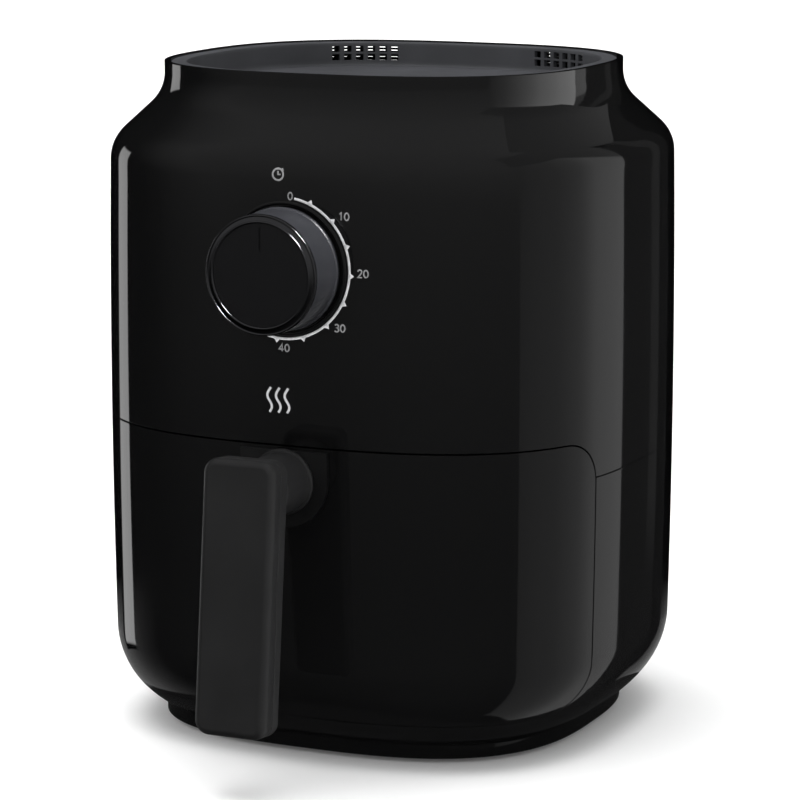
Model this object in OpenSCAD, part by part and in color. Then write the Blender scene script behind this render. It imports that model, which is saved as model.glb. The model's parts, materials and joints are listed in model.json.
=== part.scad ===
// Compact countertop air fryer with a pull-out pan drawer and a clockwork timer.
// Front faces -Y, +X is to the right seen from the front, +Z is up, the feet stand on z = 0.

/* [Body] */
// Width of the body
body_w = 245; // [235:1:255]
// Depth of the body, without handle and cord gland
body_d = 234; // [226:1:242]
// Height of the body's rim above the floor
body_h = 305; // [302:1:308]
// Squareness of the body's plan, 2 is an ellipse
body_n = 2.83; // [2.6:0.01:3.2]
// Squareness of the neck's plan
neck_n = 2.64; // [2.4:0.01:3]
// How far the neck is drawn in from the body
neck_in = 22.5; // [21:0.5:24]
// Thickness of the plastic shells
wall = 2.5; // [2:0.1:3]

/* [Drawer] */
// Height of the drawer front's lower edge
drawer_z0 = 21; // [20:0.5:22]
// Height of the drawer front's upper edge
drawer_z1 = 145; // [144:0.5:146]
// Where the drawer front's side edges lie, front to back
drawer_y = -48.3; // [-50:0.1:-46]
// Height of the seam between the lower and the upper housing
seam_z = 128; // [124:1:132]
// Radius of the drawer front's upper corners, seen from the side
corner_top = 19; // [16:1:22]
// Radius of the drawer front's lower corners, seen from the side
corner_low = 24; // [20:1:28]
// Gap all round the drawer front
drawer_gap = 0.7; // [0.6:0.1:1]

/* [Pan] */
// Half width of the pan at its rim
pan_half_w = 90; // [86:1:91]
// Half depth of the pan at its rim
pan_half_d = 89; // [86:1:90]
// Height of the pan's underside
pan_z0 = 30; // [29:0.5:32]
// Height of the pan's rim
pan_z1 = 141; // [139:0.5:142]
// Thickness of the pan's steel
pan_wall = 1.2; // [1:0.1:1.4]

/* [Handle] */
// Width of the grip
grip_w = 34; // [32:1:36]
// Thickness of the grip
grip_t = 16; // [14:0.5:17]
// Height of the grip's lower end
grip_z0 = 28; // [26:1:32]
// Height of the grip's upper end
grip_z1 = 147; // [144:1:148]
// Distance from the body's front to the grip's face, at the upper end
reach_top = 45; // [43:1:48]
// Distance from the body's front to the grip's face, at the lower end
reach_low = 57; // [55:1:59]
// Radius of the stem that carries the grip
stem_r = 13.5; // [12:0.5:14]
// Height of the stem's axis
stem_z = 129.5; // [128:0.5:130]

/* [Timer] */
// Height of the timer knob's axis
knob_z = 223; // [220:1:226]
// Radius of the timer knob
knob_r = 26.2; // [24:0.2:28]
// How far the knob stands off the panel
knob_reach = 23.4; // [22:0.2:28]
// Radius of the timer's shaft
timer_shaft_r = 3; // [3:0.5:4]

/* [Mechanism] */
// Radius of the shaft that carries both fans
shaft_r = 3; // [2.5:0.5:4]
// Radial clearance of every running fit
running = 0.05; // [0.02:0.01:0.08]
// Radius of the hot air fan
fan_r = 60; // [54:1:62]
// Radius of the motor's cooling fan
cooler_r = 48; // [42:1:48]
// Number of blades on the hot air fan
fan_blades = 12; // [8:1:14]
// Radius of the heating element's tube
tube_r = 3.25; // [3:0.25:4]

/* [Hidden] */
$fn = 64;

// Body profile: flat skirt, bottom round, slightly barrelled side, shoulder, 45 degree slope, neck.
half_w = body_w / 2;
half_d = body_d / 2;
skirt_z = 2.5;
skirt_in = 22;
bottom_r = 42;
bottom_cz = 45;
barrel = 1;
shoulder_r = 18.7;
shoulder_z = body_h - 43;
arc_in = shoulder_r * (1 - cos(45));
arc_h = shoulder_r * sin(45);
slope_h = neck_in - barrel - 2 * arc_in;
slope_z = shoulder_z + arc_h;
neck_arc_z = slope_z + slope_h;
neck_z = neck_arc_z + arc_h;
ring_points = 64;

// Everything is drawn about the body's own axis, then moved so that the whole bounding box,
// handle and gland included, is centred on the origin.
gland_out = 3;
frame_y = (reach_low - gland_out) / 2;

// Heights and places inside.
axis_y = -2;
shelf_z = 145.6;
shelf_t = 2;
bay_half = 95;
bay_back_y = axis_y + bay_half;
bezel_y = drawer_y + 0.8;
bezel_t = 2.2;
bay_floor_z = 22;
sheet_t = 1.2;
chamber_r = 94;
chamber_z0 = shelf_z + shelf_t;
chamber_z1 = 187;
element_z = 155;
element_r1 = 78;
element_r2 = 56;
leg_angle = 8;
shield_z = 192;
bracket_z = 208;
bracket_x = 46;
bracket_y = 40;
stator_z = 222;
stator_h = 18;
motor_screw_x = 24;
motor_screw_y = 16;
motor_screw_r = 2;
rotor_r = 17;
duct_y = 62;
duct_z = 196;
dish_z = 293;
dish_in = 30;
dish_wall = 2;
vent_w = 3.7;
vent_h = 3;
vent_pitch = 5.3;
vent_rows = [297.2, 301.2];
knob_face_r = knob_r - 3.8;
vent_first = 7;
vent_last = 12;
outlet_h = 0.6;
outlet_rows = [for (k = [0 : 5]) 295.5 + 1.5 * k];
rear_y = half_d - dish_in;
gland_z = 60;
gland_bore = 3.6;
gland_neck = 6.5;
case_y = -110;
case_half = 26;
case_depth = 32;
switch_x = 40;
switch_z = 125;
plunger_r = 1.5;
plunger_tip_y = axis_y + pan_half_d - 2;
plate_z = 40;
plate_in = 11;
pan_n = 4.5;
pan_lip = 2.6;
pan_draft = 3;
pan_round = 12;
pan_screw_z = 118;
bracket_h = 24;
holder_t = 1.5;
// Front of the pan's wall at the height of the bracket's upper edge.
pan_depth = pan_z1 - pan_screw_z - bracket_h / 2;
pan_front_y = axis_y - pan_half_d + pan_lip - 0.05
    + pan_draft * pan_depth / (pan_z1 - pan_z0 - pan_round);
drawer_wall = 2.2;
foot_r = 9;
foot_x = 62;
foot_y = 58;
panel_y = -half_d;
pocket_y = panel_y + 1.8;
holder_y = pocket_y + 1.4;
plate_front_y = panel_y - 1.6;
handle_screw_z = 7;

// Inset of the body's surface from its widest outline, at height z.
function wall_inset(z) =
    z < bottom_cz ? min(skirt_in, barrel + bottom_r - sqrt(pow(bottom_r, 2) - pow(bottom_cz - z, 2)))
    : z < shoulder_z ? barrel * pow(2 * (z - bottom_cz) / (shoulder_z - bottom_cz) - 1, 2)
    : z < slope_z ? barrel + shoulder_r - sqrt(pow(shoulder_r, 2) - pow(z - shoulder_z, 2))
    : z < neck_arc_z ? barrel + arc_in + z - slope_z
    : z < neck_z ? neck_in - shoulder_r + sqrt(pow(shoulder_r, 2) - pow(neck_z - z, 2))
    : neck_in;

// Squareness of the plan at height z.
function plan_n(z) =
    body_n + (neck_n - body_n) * min(1, max(0, (z - shoulder_z) / (neck_z - shoulder_z)));

// One closed outline of points, a superellipse of half sizes a and b.
function plan_radius(t, a, b, n) =
    pow(pow(abs(cos(t)) / a, n) + pow(abs(sin(t)) / b, n), -1 / n);
function ring(a, b, n, z, cy = 0) =
    [for (i = [0 : ring_points - 1])
        let (t = 360 * i / ring_points, r = plan_radius(t, a, b, n))
        [r * cos(t), r * sin(t) + cy, z]];
function body_ring(z, inset) = ring(half_w - inset, half_d - inset, plan_n(z), z);

// Heights at which the body's profile bends, kept between z0 and z1.
skirt_angle = acos(1 - (skirt_in - barrel) / bottom_r);
bends = concat(
    [for (i = [0 : 5]) bottom_cz - bottom_r * sin(skirt_angle * (1 - i / 5))],
    [80, 130, 180, 225, shoulder_z],
    [for (i = [1 : 3]) shoulder_z + shoulder_r * sin(15 * i)],
    [for (i = [0 : 3]) neck_z - shoulder_r * sin(15 * (3 - i))]
);
function levels(z0, z1) =
    concat([z0], [for (z = bends) if (z > z0 + 0.4 && z < z1 - 0.4) z], [z1]);
function reversed(v) = [for (i = [len(v) - 1 : -1 : 0]) v[i]];

function flat_points(rings) = [for (r = rings) for (p = r) p];
function side_faces(count, closed) =
    [for (k = [0 : count - (closed ? 1 : 2)]) for (i = [0 : ring_points - 1])
        let (j = (i + 1) % ring_points, a = k * ring_points, b = ((k + 1) % count) * ring_points)
        [a + i, b + i, b + j, a + j]];

// A tube-like skin: outer rings going up, inner rings coming down.
module ring_loop(rings) {
    polyhedron(flat_points(rings), side_faces(len(rings), true), convexity = 8);
}

// A solid through a stack of rings, capped at both ends.
module ring_stack(rings) {
    last = (len(rings) - 1) * ring_points;
    polyhedron(
        flat_points(rings),
        concat(
            side_faces(len(rings), false),
            [[for (i = [0 : ring_points - 1]) i]],
            [[for (i = [ring_points - 1 : -1 : 0]) last + i]]
        ),
        convexity = 8
    );
}

// The body as a solid between two heights, drawn in by inset.
module body_solid(z0, z1, inset) {
    ring_stack([for (z = levels(z0, z1)) body_ring(z, wall_inset(z) + inset)]);
}

// The body's shell between two heights.
module body_shell(z0, z1) {
    zs = levels(z0, z1);
    ring_loop(concat(
        [for (z = zs) body_ring(z, wall_inset(z))],
        [for (z = reversed(zs)) body_ring(z, wall_inset(z) + wall)]
    ));
}

// Rectangle w by h with corners of radius r.
module rounded_rect(w, h, r, steps = 6) {
    polygon([for (q = [0 : 3]) for (i = [0 : steps])
        let (a = 90 * q + 90 * i / steps,
             cx = (q == 0 || q == 3 ? 1 : -1) * (w / 2 - r),
             cy = (q < 2 ? 1 : -1) * (h / 2 - r))
        [cx + r * cos(a), cy + r * sin(a)]]);
}

// Where the drawer front sits, cut across the whole body; shrink draws it in on every side.
module drawer_zone(shrink) {
    steps = 8;
    far = -2 * half_d;
    y1 = drawer_y - shrink;
    z0 = drawer_z0 + shrink;
    z1 = drawer_z1 - shrink;
    rl = corner_low - shrink;
    rt = corner_top - shrink;
    rotate([90, 0, 90])
        linear_extrude(2 * body_w, center = true)
            polygon(concat(
                [[far, z0]],
                [for (i = [0 : steps]) let (a = 90 * i / steps - 90)
                    [y1 - rl + rl * cos(a), z0 + rl + rl * sin(a)]],
                [for (i = [0 : steps]) let (a = 90 * i / steps)
                    [y1 - rt + rt * cos(a), z1 - rt + rt * sin(a)]],
                [[far, z1]]
            ));
}

// A cylinder along Y from y0 to y1.
module rod_y(r, y0, y1) {
    translate([0, y0, 0]) rotate([-90, 0, 0]) cylinder(r = r, h = y1 - y0);
}

module at_fan_axis() {
    translate([0, axis_y, 0]) children();
}

module at_motor_screws() {
    for (sx = [-1, 1]) for (sy = [-1, 1])
        translate([sx * motor_screw_x, axis_y + sy * motor_screw_y, 0]) children();
}

module in_frame() {
    translate([0, frame_y, 0]) children();
}

// ---- Housing ----

module upper_housing() {
    color([0.03, 0.03, 0.035]) in_frame() difference() {
        body_shell(seam_z, body_h);
        drawer_zone(-drawer_gap / 2);
        // Hole for the timer shaft.
        translate([0, 0, knob_z]) rod_y(6, -1.1 * half_d, -0.9 * half_d);
        // Outlet grille of fine slits behind the vents of the top cover.
        rear_vents(rear_y - 12, 40, outlet_h, outlet_rows);
    }
}

module lower_housing() {
    color([0.03, 0.03, 0.035]) in_frame() difference() {
        body_shell(skirt_z, seam_z);
        drawer_zone(-drawer_gap / 2);
        translate([0, 0, gland_z]) rod_y(gland_neck + 0.1, 0.9 * half_d, 1.1 * half_d);
    }
}

module base_plate() {
    inset = skirt_in + wall + 0.2;
    color([0.06, 0.06, 0.065]) in_frame() difference() {
        ring_stack([body_ring(skirt_z + 0.5, inset), body_ring(skirt_z + 3, inset)]);
        // Air inlet slots.
        for (sy = [-1, 1]) for (i = [-4 : 4])
            translate([8 * i - 1.5, sy * 30 - 14, 0]) cube([3, 28, 10]);
        for (sx = [-1, 1]) for (sy = [-1, 1])
            translate([sx * 40, sy * 66, 0]) cylinder(r = 2.1, h = 10);
    }
}

module rubber_feet() {
    color([0.1, 0.1, 0.1]) in_frame()
        for (sx = [-1, 1]) for (sy = [-1, 1])
            translate([sx * foot_x, sy * foot_y, 0])
                rotate_extrude() polygon([[0, 0], [foot_r - 1, 0], [foot_r, 1], [foot_r, 3], [0, 3]]);
}

module base_screws() {
    color([0.7, 0.7, 0.72]) in_frame()
        for (sx = [-1, 1]) for (sy = [-1, 1])
            translate([sx * 40, sy * 66, 0]) {
                translate([0, 0, 1.2]) cylinder(r = 3.8, h = 1.8);
                translate([0, 0, 2.9]) cylinder(r = 2, h = 12);
            }
}

// Vents at either side of the neck's rear, cut radially outwards from one radius.
module rear_vents(from, depth, h, rows) {
    for (s = [-1, 1], i = [vent_first : vent_last])
        rotate([0, 0, 90 + s * i * vent_pitch / rear_y * 180 / PI])
            for (z = rows) translate([from, -vent_w / 2, z - h / 2]) cube([depth, vent_w, h]);
}

module top_cover() {
    wall_in = dish_in + dish_wall;
    flange_in = neck_in + wall + 0.3;
    top = body_h - 0.6;
    color([0.2, 0.21, 0.22]) in_frame() difference() {
        ring_stack([
            body_ring(dish_z - 2, dish_in + 3),
            body_ring(dish_z, dish_in),
            body_ring(top - 1.3, dish_in),
            body_ring(top - 1.3, flange_in),
            body_ring(top, flange_in),
            body_ring(top, wall_in),
            body_ring(dish_z + 1.5, wall_in),
            body_ring(dish_z, wall_in + 1.5)
        ]);
        rear_vents(rear_y - 15, 30, vent_h, vent_rows);
    }
}

module cord_gland() {
    color([0.08, 0.08, 0.08]) in_frame() translate([0, 0, gland_z]) difference() {
        union() {
            rod_y(9, half_d - 0.4, half_d + gland_out);
            rod_y(gland_neck, half_d - 5, half_d);
            rod_y(8.5, half_d - 9, half_d - wall - 1.2);
        }
        rod_y(gland_bore, half_d - 20, half_d + 20);
    }
}

// ---- Electrical parts ----

module terminal_block() {
    color([0.85, 0.83, 0.75]) in_frame() translate([24, 98, 50]) difference() {
        cube([30, 11, 14]);
        for (i = [0 : 2]) translate([5 + 10 * i, 5.5, 6]) cylinder(r = 3, h = 10);
    }
}

// Points of a smooth route through p, and a round tube along them.
function route_point(p, i, t) =
    let (a = p[max(0, i - 1)], b = p[i], c = p[i + 1], d = p[min(len(p) - 1, i + 2)])
    0.5 * (2 * b + (c - a) * t + (2 * a - 5 * b + 4 * c - d) * t * t
        + (3 * b - a - 3 * c + d) * t * t * t);
function route(p, steps) =
    concat([for (i = [0 : len(p) - 2]) for (s = [0 : steps - 1]) route_point(p, i, s / steps)],
        [p[len(p) - 1]]);
function unit(v) = v / norm(v);
function heading(q, i) = unit(q[min(len(q) - 1, i + 1)] - q[max(0, i - 1)]);

module tube_along(p, r, steps = 3, sides = 8) {
    q = route(p, steps);
    points = [for (i = [0 : len(q) - 1])
        let (h = heading(q, i), u = unit(cross(h, [0.31, 0.23, 0.92])), v = cross(h, u))
        for (k = [0 : sides - 1]) q[i] + r * (cos(360 * k / sides) * u + sin(360 * k / sides) * v)];
    last = (len(q) - 1) * sides;
    polyhedron(points, concat(
        [for (i = [0 : len(q) - 2]) for (k = [0 : sides - 1]) let (m = (k + 1) % sides)
            [i * sides + k, (i + 1) * sides + k, (i + 1) * sides + m, i * sides + m]],
        [[for (k = [0 : sides - 1]) k]],
        [[for (k = [sides - 1 : -1 : 0]) last + k]]
    ));
}

module wire_harness() {
    color([0.75, 0.75, 0.7]) in_frame() {
        // To the motor's coil.
        tube_along([[29, 103, 65], [44, 107, 100], [62, 101, 160], [66, 96, 205],
            [60, 62, 230], [36, 56, 240], [15, 53, 236]], 1.4);
        // To the heating element.
        tube_along([[39, 103, 65], [56, 103, 100], [70, 95, 160], [80, 76, 198],
            [88, 40, 206], [82, 14, 206], [78, 11, 203]], 1.4);
        // To the timer.
        tube_along([[49, 103, 65], [66, 100, 100], [81, 88, 160], [84, 88, 215],
            [80, 30, 256], [40, -50, 262], [16, -80, 256], [12, -88, 252]], 1.4);
    }
}

module thermostat() {
    color([0.75, 0.73, 0.68]) in_frame() translate([56, 30, chamber_z1]) {
        cylinder(r = 8, h = 4);
        translate([0, 0, 4]) cylinder(r = 5, h = 0.8);
    }
}

module thermal_fuse() {
    color([0.8, 0.78, 0.72]) in_frame()
        translate([-60, 22, chamber_z1 + 2.2]) {
            rod_y(2, 0, 14);
            rod_y(0.5, -8, 0);
            rod_y(0.5, 14, 22);
        }
}

module microswitch_body() {
    color([0.12, 0.12, 0.13]) in_frame() difference() {
        translate([switch_x - 10, bay_back_y + sheet_t, switch_z - 6]) cube([20, 9, 12]);
        translate([switch_x, 0, switch_z]) rod_y(plunger_r + running, bay_back_y, bay_back_y + 7);
    }
}

module microswitch_plunger() {
    color([0.75, 0.1, 0.1]) in_frame()
        translate([switch_x, 0, switch_z]) rod_y(plunger_r, plunger_tip_y, bay_back_y + 5);
}

// ---- Drawer bay ----

// Plan of the bay: round at the back like the pan, straight walls to the front.
module bay_outline(grow, front) {
    half = bay_half + grow;
    polygon(concat(
        [for (i = [0 : 36]) let (t = 5 * i, r = plan_radius(t, half, half, pan_n))
            [r * cos(t), r * sin(t) + axis_y]],
        [[-half, front], [half, front]]
    ));
}

module bay_frame() {
    depth = half_d + bezel_y + bezel_t;
    color([0.05, 0.05, 0.055]) in_frame() difference() {
        intersection() {
            body_solid(drawer_z0 - 3, chamber_z0, wall + 0.2);
            union() {
                // Upright bezel round the bay's mouth.
                translate([-half_w, bezel_y, 0]) cube([body_w, bezel_t, body_h]);
                // Shelf above the drawer front and ledge below it.
                translate([-half_w, -half_d, shelf_z]) cube([body_w, depth, shelf_t]);
                translate([-half_w, -half_d, drawer_z0 - 2.6]) cube([body_w, depth, 2]);
            }
        }
        at_fan_axis() cylinder(r = chamber_r + 3, h = body_h);
        translate([0, 0, bay_floor_z - 0.1]) linear_extrude(body_h)
            bay_outline(sheet_t + 0.1, bezel_y - 1);
    }
}

module bay_liner() {
    color([0.55, 0.56, 0.58]) in_frame() difference() {
        translate([0, 0, bay_floor_z]) linear_extrude(chamber_z0 - bay_floor_z)
            bay_outline(sheet_t, bezel_y);
        translate([0, 0, bay_floor_z + sheet_t]) linear_extrude(body_h)
            bay_outline(0, bezel_y - 1);
        translate([switch_x, 0, switch_z]) rod_y(plunger_r + 0.4, bay_back_y - 10, bay_back_y + 5);
    }
}

module bay_rails() {
    z0 = bay_floor_z + sheet_t;
    color([0.15, 0.15, 0.16]) in_frame()
        for (sx = [-1, 1]) translate([sx * 55 - 5, bezel_y + bezel_t, z0])
            cube([10, 120, pan_z0 - 0.3 - z0]);
}

// ---- Hot air chamber ----

module element_leg_holes(r) {
    for (s = [-1, 1]) rotate([0, 0, s * leg_angle]) translate([element_r1, 0, chamber_z1 - 20])
        cylinder(r = r, h = 40);
}

module chamber_liner() {
    t = sheet_t;
    corner = 12;
    color([0.68, 0.69, 0.7]) in_frame() {
        difference() {
            union() {
                at_fan_axis() rotate_extrude() polygon(concat(
                    [[chamber_r, chamber_z0], [chamber_r + t, chamber_z0]],
                    [for (i = [0 : 8]) let (a = 90 * i / 8)
                        [chamber_r + t - corner + corner * cos(a), chamber_z1 - corner + corner * sin(a)]],
                    [[0, chamber_z1], [0, chamber_z1 - t]],
                    [for (i = [8 : -1 : 0]) let (a = 90 * i / 8, c = corner - t)
                        [chamber_r - c + c * cos(a), chamber_z1 - corner + c * sin(a)]]
                ));
                // Square flange that closes the bay's top round the dish.
                difference() {
                    intersection() {
                        body_solid(chamber_z0, chamber_z0 + t, wall + 0.6);
                        translate([0, 0, chamber_z0]) linear_extrude(t) bay_outline(t + 0.5, -104);
                    }
                    at_fan_axis() translate([0, 0, chamber_z0 - 1]) cylinder(r = chamber_r + t / 2, h = 5);
                }
            }
            at_fan_axis() {
                translate([0, 0, chamber_z1 - 5]) cylinder(r = 7, h = 10);
                element_leg_holes(tube_r + 0.6);
            }
        }
    }
}

// One bent tube: down a leg, round the outside, back round the inside, on round and up again.
function on_turn(r, a, z = 0, along = 0) =
    [r * cos(a) - along * sin(a), r * sin(a) + along * cos(a), element_z + z];
turn_mid = (element_r1 + element_r2) / 2;
turn_half = (element_r1 - element_r2) / 2;
element_path = concat(
    [for (z = [45, 20, 6, 2]) on_turn(element_r1, leg_angle, z)],
    [for (a = [leg_angle + 4 : 9 : 156]) on_turn(element_r1, a)],
    [for (b = [0 : 30 : 180]) on_turn(turn_mid + turn_half * cos(b), 160, 0, turn_half * sin(b))],
    [for (a = [151 : -11 : -156]) on_turn(element_r2, a)],
    [for (b = [0 : 30 : 180]) on_turn(turn_mid - turn_half * cos(b), 200, 0, -turn_half * sin(b))],
    [for (a = [209 : 9 : 360 - leg_angle - 4]) on_turn(element_r1, a)],
    [for (z = [2, 6, 20, 45]) on_turn(element_r1, -leg_angle, z)]
);

module heating_element() {
    color([0.5, 0.48, 0.46]) in_frame() at_fan_axis() tube_along(element_path, tube_r, 1);
}

module element_brackets() {
    z = element_z - tube_r - 1.6;
    color([0.72, 0.72, 0.73]) in_frame() at_fan_axis()
        for (a = [40, 140, 270]) rotate([0, 0, a]) {
            translate([50, -4, z]) cube([chamber_r - 50.6, 8, 1.5]);
            translate([chamber_r - 2.2, -4, z]) cube([1.5, 8, 24]);
        }
}

module heat_shield() {
    color([0.6, 0.61, 0.62]) in_frame() at_fan_axis() difference() {
        translate([0, 0, shield_z]) cylinder(r = 103, h = sheet_t);
        translate([0, 0, shield_z - 1]) cylinder(r = 7, h = 5);
        element_leg_holes(tube_r + 0.6);
    }
}

// ---- Motor and fans ----

module motor_bracket() {
    arm = norm([bracket_x, bracket_y]);
    color([0.6, 0.6, 0.62]) in_frame() at_fan_axis() {
        for (s = [0, 1]) mirror([s, 0, 0]) for (u = [0, 1]) mirror([0, u, 0])
            translate([bracket_x, bracket_y, shield_z + sheet_t]) cylinder(r = 4, h = bracket_z - shield_z);
        difference() {
            translate([0, 0, bracket_z]) linear_extrude(2) {
                square([62, 44], center = true);
                for (a = [-1, 1]) rotate(a * atan2(bracket_y, bracket_x))
                    square([2 * arm + 8, 12], center = true);
            }
            translate([0, 0, bracket_z - 1]) cylinder(r = 9, h = 5);
            translate([0, -axis_y, bracket_z - 1]) at_motor_screws() cylinder(r = 2.1, h = 5);
        }
    }
}

module motor_grommets() {
    color([0.08, 0.08, 0.08]) in_frame() at_motor_screws()
        translate([0, 0, bracket_z + 2]) difference() {
            cylinder(r = 5, h = stator_z - 2 - bracket_z - 2);
            translate([0, 0, -1]) cylinder(r = 2.1, h = 20);
        }
}

module motor_stator() {
    color([0.42, 0.43, 0.45]) in_frame() difference() {
        translate([-30, axis_y - 23, stator_z]) cube([60, 70, stator_h]);
        at_fan_axis() translate([0, 0, stator_z - 1]) cylinder(r = rotor_r + 0.6, h = stator_h + 2);
        translate([-19, axis_y + 22, stator_z - 1]) cube([38, 14, stator_h + 2]);
        translate([0, 0, stator_z - 1]) at_motor_screws() cylinder(r = 2.1, h = stator_h + 2);
    }
}

module motor_coil() {
    color([0.75, 0.38, 0.16]) in_frame() difference() {
        translate([-17, axis_y + 28, stator_z - 7]) cube([34, 25, stator_h + 14]);
        translate([-20, axis_y + 36, stator_z]) cube([40, 11, stator_h]);
    }
}

module motor_endcaps() {
    color([0.66, 0.66, 0.68]) in_frame() {
        for (s = [0, 1]) translate([0, 0, stator_z + s * (stator_h + 2) - 2]) difference() {
            union() {
                at_fan_axis() translate([-28, -20, 0]) cube([56, 40, 2]);
                at_fan_axis() translate([0, 0, s == 0 ? -6 : 2]) cylinder(r = 8, h = 6);
            }
            at_fan_axis() translate([0, 0, -10]) cylinder(r = 5, h = 20);
            translate([0, 0, -1]) at_motor_screws() cylinder(r = 2.1, h = 5);
        }
    }
}

module shaft_bearings() {
    color([0.72, 0.55, 0.28]) in_frame() at_fan_axis()
        for (z = [stator_z - 8, stator_z + stator_h]) translate([0, 0, z]) difference() {
            cylinder(r = 5, h = 8);
            translate([0, 0, -1]) cylinder(r = shaft_r + running, h = 10);
        }
}

module motor_screws() {
    top = stator_z + stator_h + 2;
    color([0.75, 0.75, 0.77]) in_frame() at_motor_screws() {
        translate([0, 0, bracket_z - 2]) cylinder(r = 3.8, h = 2);
        translate([0, 0, bracket_z - 1]) cylinder(r = motor_screw_r, h = top - bracket_z + 7);
        translate([0, 0, top]) cylinder(r = 3.6, h = 3, $fn = 6);
    }
}

module motor_shaft() {
    color([0.8, 0.8, 0.82]) in_frame() at_fan_axis()
        translate([0, 0, 159]) cylinder(r = shaft_r, h = 91);
}

module motor_rotor() {
    color([0.5, 0.5, 0.52]) in_frame() at_fan_axis() translate([0, 0, stator_z + 1]) difference() {
        cylinder(r = rotor_r, h = stator_h - 2);
        translate([0, 0, -1]) cylinder(r = shaft_r, h = stator_h + 2);
    }
}

// A fan's hub on the shaft, with flat blades set on a back disc.
module fan(z, r, hub_r, hub_h, blades, blade_h, disc_top) {
    at_fan_axis() translate([0, 0, z]) difference() {
        union() {
            cylinder(r = hub_r, h = hub_h);
            translate([0, 0, disc_top ? hub_h - 1.2 : 0]) cylinder(r = 0.6 * r, h = 1.2);
            for (i = [0 : blades - 1]) rotate([0, 0, 360 * i / blades])
                translate([hub_r - 1, -0.6, (hub_h - blade_h) / 2]) rotate([0, 0, 12])
                    cube([r - hub_r - 0.6, 1.2, blade_h]);
        }
        translate([0, 0, -1]) cylinder(r = shaft_r, h = hub_h + 2);
    }
}

module convection_fan() {
    color([0.78, 0.78, 0.8]) in_frame() fan(165, fan_r, 10, 15, fan_blades, 14, true);
}

module fan_nut() {
    color([0.7, 0.7, 0.72]) in_frame() at_fan_axis() translate([0, 0, 161]) difference() {
        cylinder(r = 5, h = 4, $fn = 6);
        translate([0, 0, -1]) cylinder(r = shaft_r, h = 6);
    }
}

module cooling_fan() {
    color([0.7, 0.7, 0.72]) in_frame() fan(197, cooler_r, 8, 8, 8, 8, false);
}

// Chute that leads the warm air to the outlet in the neck's rear.
module air_duct() {
    color([0.1, 0.1, 0.105]) in_frame() difference() {
        translate([-42, duct_y, duct_z]) cube([84, 26, 286 - duct_z]);
        translate([-40.5, duct_y + 1.5, duct_z - 1]) cube([81, 23, 100]);
        // Mouth towards the cooling fan.
        translate([-36, duct_y - 1, duct_z - 1]) cube([72, 4, 26]);
    }
}

// ---- Timer ----

module at_knob() {
    translate([0, 0, knob_z]) children();
}

module timer_bracket() {
    color([0.7, 0.7, 0.72]) in_frame() at_knob() difference() {
        translate([-33, case_y - 1.5, -24]) cube([66, 1.5, 48]);
        rod_y(timer_shaft_r + 1, case_y - 5, case_y + 5);
        for (s = [-1, 1]) translate([29.5 * s, 0, 0]) rod_y(1.6, case_y - 5, case_y + 5);
    }
}

module timer_case() {
    color([0.76, 0.76, 0.78]) in_frame() at_knob() difference() {
        translate([-case_half, case_y, -case_half]) cube([2 * case_half, case_depth, 2 * case_half]);
        translate([1.5 - case_half, case_y + 3, 1.5 - case_half])
            cube([2 * case_half - 3, case_depth - 4.5, 2 * case_half - 3]);
        rod_y(timer_shaft_r + running, case_y - 5, case_y + 5);
    }
}

module timer_bell() {
    color([0.8, 0.78, 0.6]) in_frame() translate([0, case_y + case_depth, knob_z]) rotate([-90, 0, 0])
        rotate_extrude() polygon([[0, 0], [3, 0], [3, 7], [17, 7], [20, 2], [21, 2], [18, 8.2], [0, 8.2]]);
}

module timer_screws() {
    color([0.75, 0.75, 0.77]) in_frame() at_knob()
        for (s = [-1, 1]) translate([29.5 * s, 0, 0]) {
            rod_y(3, case_y, case_y + 2);
            rod_y(1.5, case_y - 3, case_y);
        }
}

module timer_shaft() {
    color([0.8, 0.8, 0.82]) in_frame() at_knob()
        rod_y(timer_shaft_r, panel_y - knob_reach + 6, case_y + 18);
}

module timer_knob() {
    front = panel_y - knob_reach;
    color([0.16, 0.165, 0.175]) in_frame() at_knob() difference() {
        union() {
            rod_y(knob_r, front + 2.4, panel_y - 0.8);
            rod_y(knob_r + 0.7, panel_y - 2.6, panel_y - 0.8);
        }
        // Hollow from behind, round a hub.
        difference() {
            rod_y(knob_r - 2.2, front + 5, panel_y);
            rod_y(6, front, panel_y + 1);
        }
        rod_y(timer_shaft_r, front + 6, panel_y + 1);
    }
}

module knob_trim() {
    front = panel_y - knob_reach;
    color([0.5, 0.51, 0.53]) in_frame() translate([0, front + 2.4, knob_z]) rotate([90, 0, 0])
        rotate_extrude() polygon([
            [knob_face_r, 0], [knob_r, 0], [knob_r, 0.6], [knob_r - 1.6, 2.4], [knob_face_r, 2.4]
        ]);
}

module knob_cap() {
    front = panel_y - knob_reach;
    color([0.04, 0.04, 0.045]) in_frame() at_knob() difference() {
        rod_y(knob_face_r, front + 0.3, front + 2.4);
        translate([-0.5, front, 10.5]) cube([1, 0.7, 10]);
    }
}

// ---- Drawer ----

function pan_ring(z, inset) = ring(pan_half_w - inset, pan_half_d - inset, pan_n, z, axis_y);

module drawer_front() {
    shrink = drawer_gap / 2;
    color([0.03, 0.03, 0.035]) in_frame() difference() {
        intersection() {
            body_solid(drawer_z0, drawer_z1, 0);
            drawer_zone(shrink);
        }
        // The hollow behind the skin.
        intersection() {
            body_solid(drawer_z0, drawer_z1, wall);
            drawer_zone(shrink + drawer_wall);
        }
        // The pan's mouth.
        ring_stack([pan_ring(pan_z0 - 3, 0), pan_ring(pan_z1 - 3, -0.3), pan_ring(body_h, -0.3)]);
        handle_pocket(0);
        handle_screw_holes(2.1);
    }
}

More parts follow.
